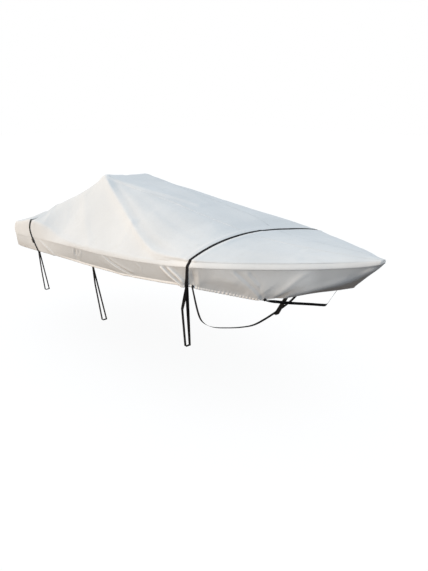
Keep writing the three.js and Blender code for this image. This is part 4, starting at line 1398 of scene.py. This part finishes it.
def add_stitches():
    """Two rows by each top seam, one above each rub-rail seam, and one along each hem."""
    rows = {"centre_panel": [], "starboard_side_panel": [], "port_side_panel": [],
            "starboard_skirt": [], "port_skirt": []}
    for side, name in ((-1, "starboard"), (1, "port")):
        seam, rail, hem = HEM_AT + side * SEAM_AT, HEM_AT + side * RAIL_AT, HEM_AT + side * HEM_AT
        for inset in SEAM_INSETS:
            line = beside(seam, inset, side)
            rows["centre_panel"].append(line + NORMAL[:, seam] * LAP_RISE)
        rows[name + "_side_panel"].append(beside(rail, RAIL_INSET, -side))
        rows[name + "_skirt"].append(beside(hem, HEM_INSET, -side))
    return {node: sew(node + "_stitches", lines) for node, lines in rows.items()}


STITCHES = add_stitches()


# ---- floor, sky and sun ----
FLOOR_SIZE = 60.0
FLOOR_DIM, FLOOR_PALE = (0.15, 0.13, 0.12, 1), (0.8, 0.8, 0.8, 1)
FLOOR_GLOW, GLOW_SHARE = 1.07, 0.84  # the rest of the floor's look takes the shadow
SUN_STRENGTH, SUN_SPREAD, SUN_COLOUR = 2.35, math.radians(14.0), (1.0, 0.80, 0.60)
TO_SUN = (-0.63, -0.77, 0.09)
SKY_COLOUR = (0.83, 0.915, 1.0, 1)
WHITE = (1, 1, 1, 1)


def add_stage():
    """A floor that looks nearly white to the camera and throws little light back up."""
    bpy.ops.mesh.primitive_plane_add(size=FLOOR_SIZE, location=(0, 0, metres((0, 0, 0))[2]))
    floor = bpy.context.object
    floor.name = "floor"
    shop = Finish("floor_pale")
    plain = shop.node("BsdfDiffuse", None, {"Color": FLOOR_DIM})
    pale = shop.node("BsdfDiffuse", None, {"Color": FLOOR_PALE})
    glow = shop.node("Emission", None, {"Color": WHITE, "Strength": FLOOR_GLOW})
    shown = shop.node("MixShader", None, {0: GLOW_SHARE, 1: pale, 2: glow})
    both = shop.node("MixShader", None, {0: shop.seen_by("Camera"), 1: plain, 2: shown})
    shop.feed(shop.tree.nodes["Material Output"].inputs["Surface"], both)
    floor.data.materials.append(shop.material)


def add_light():
    """A low, warm, hazy sun astern to starboard, and a blue sky that the camera sees as white."""
    sun = bpy.data.lights.new("sun", "SUN")
    sun.energy, sun.angle, sun.color = SUN_STRENGTH, SUN_SPREAD, SUN_COLOUR
    lamp = in_scene("sun", sun)
    lamp.matrix_world = Vector(TO_SUN).to_track_quat("Z", "Y").to_matrix().to_4x4()
    world = bpy.data.worlds.new("sky")
    bpy.context.scene.world = world
    world.use_nodes = True
    world.node_tree.nodes.clear()
    shop = Shop(world.node_tree)
    sky = shop.node("Background", None, {"Color": SKY_COLOUR})
    white = shop.node("Background", None, {"Color": WHITE})
    seen = shop.seen_by("Camera", "Glossy", "Transmission")
    both = shop.node("MixShader", None, {0: seen, 1: sky, 2: white})
    shop.node("OutputWorld", None, {"Surface": both}, output=None)


add_stage()
add_light()
bpy.context.scene.view_settings.view_transform = "Standard"

# ---- what each sheet of cloth is when laid flat: its box and its area, in metres ----
FLAT_SIZES = {
    "centre_panel": ((0.54, 4.75), 1.75),
    "starboard_side_panel": ((1.10, 4.50), 3.15),
    "port_side_panel": ((1.10, 4.50), 3.15),
    "starboard_skirt": ((0.28, 4.50), 0.85),
    "port_skirt": ((0.28, 4.50), 0.85),
    "transom_panel": ((0.30, 1.83), 0.53),
}
for node, (flat, area) in FLAT_SIZES.items():
    held = "hung" if is_hung(node) else "stretched"
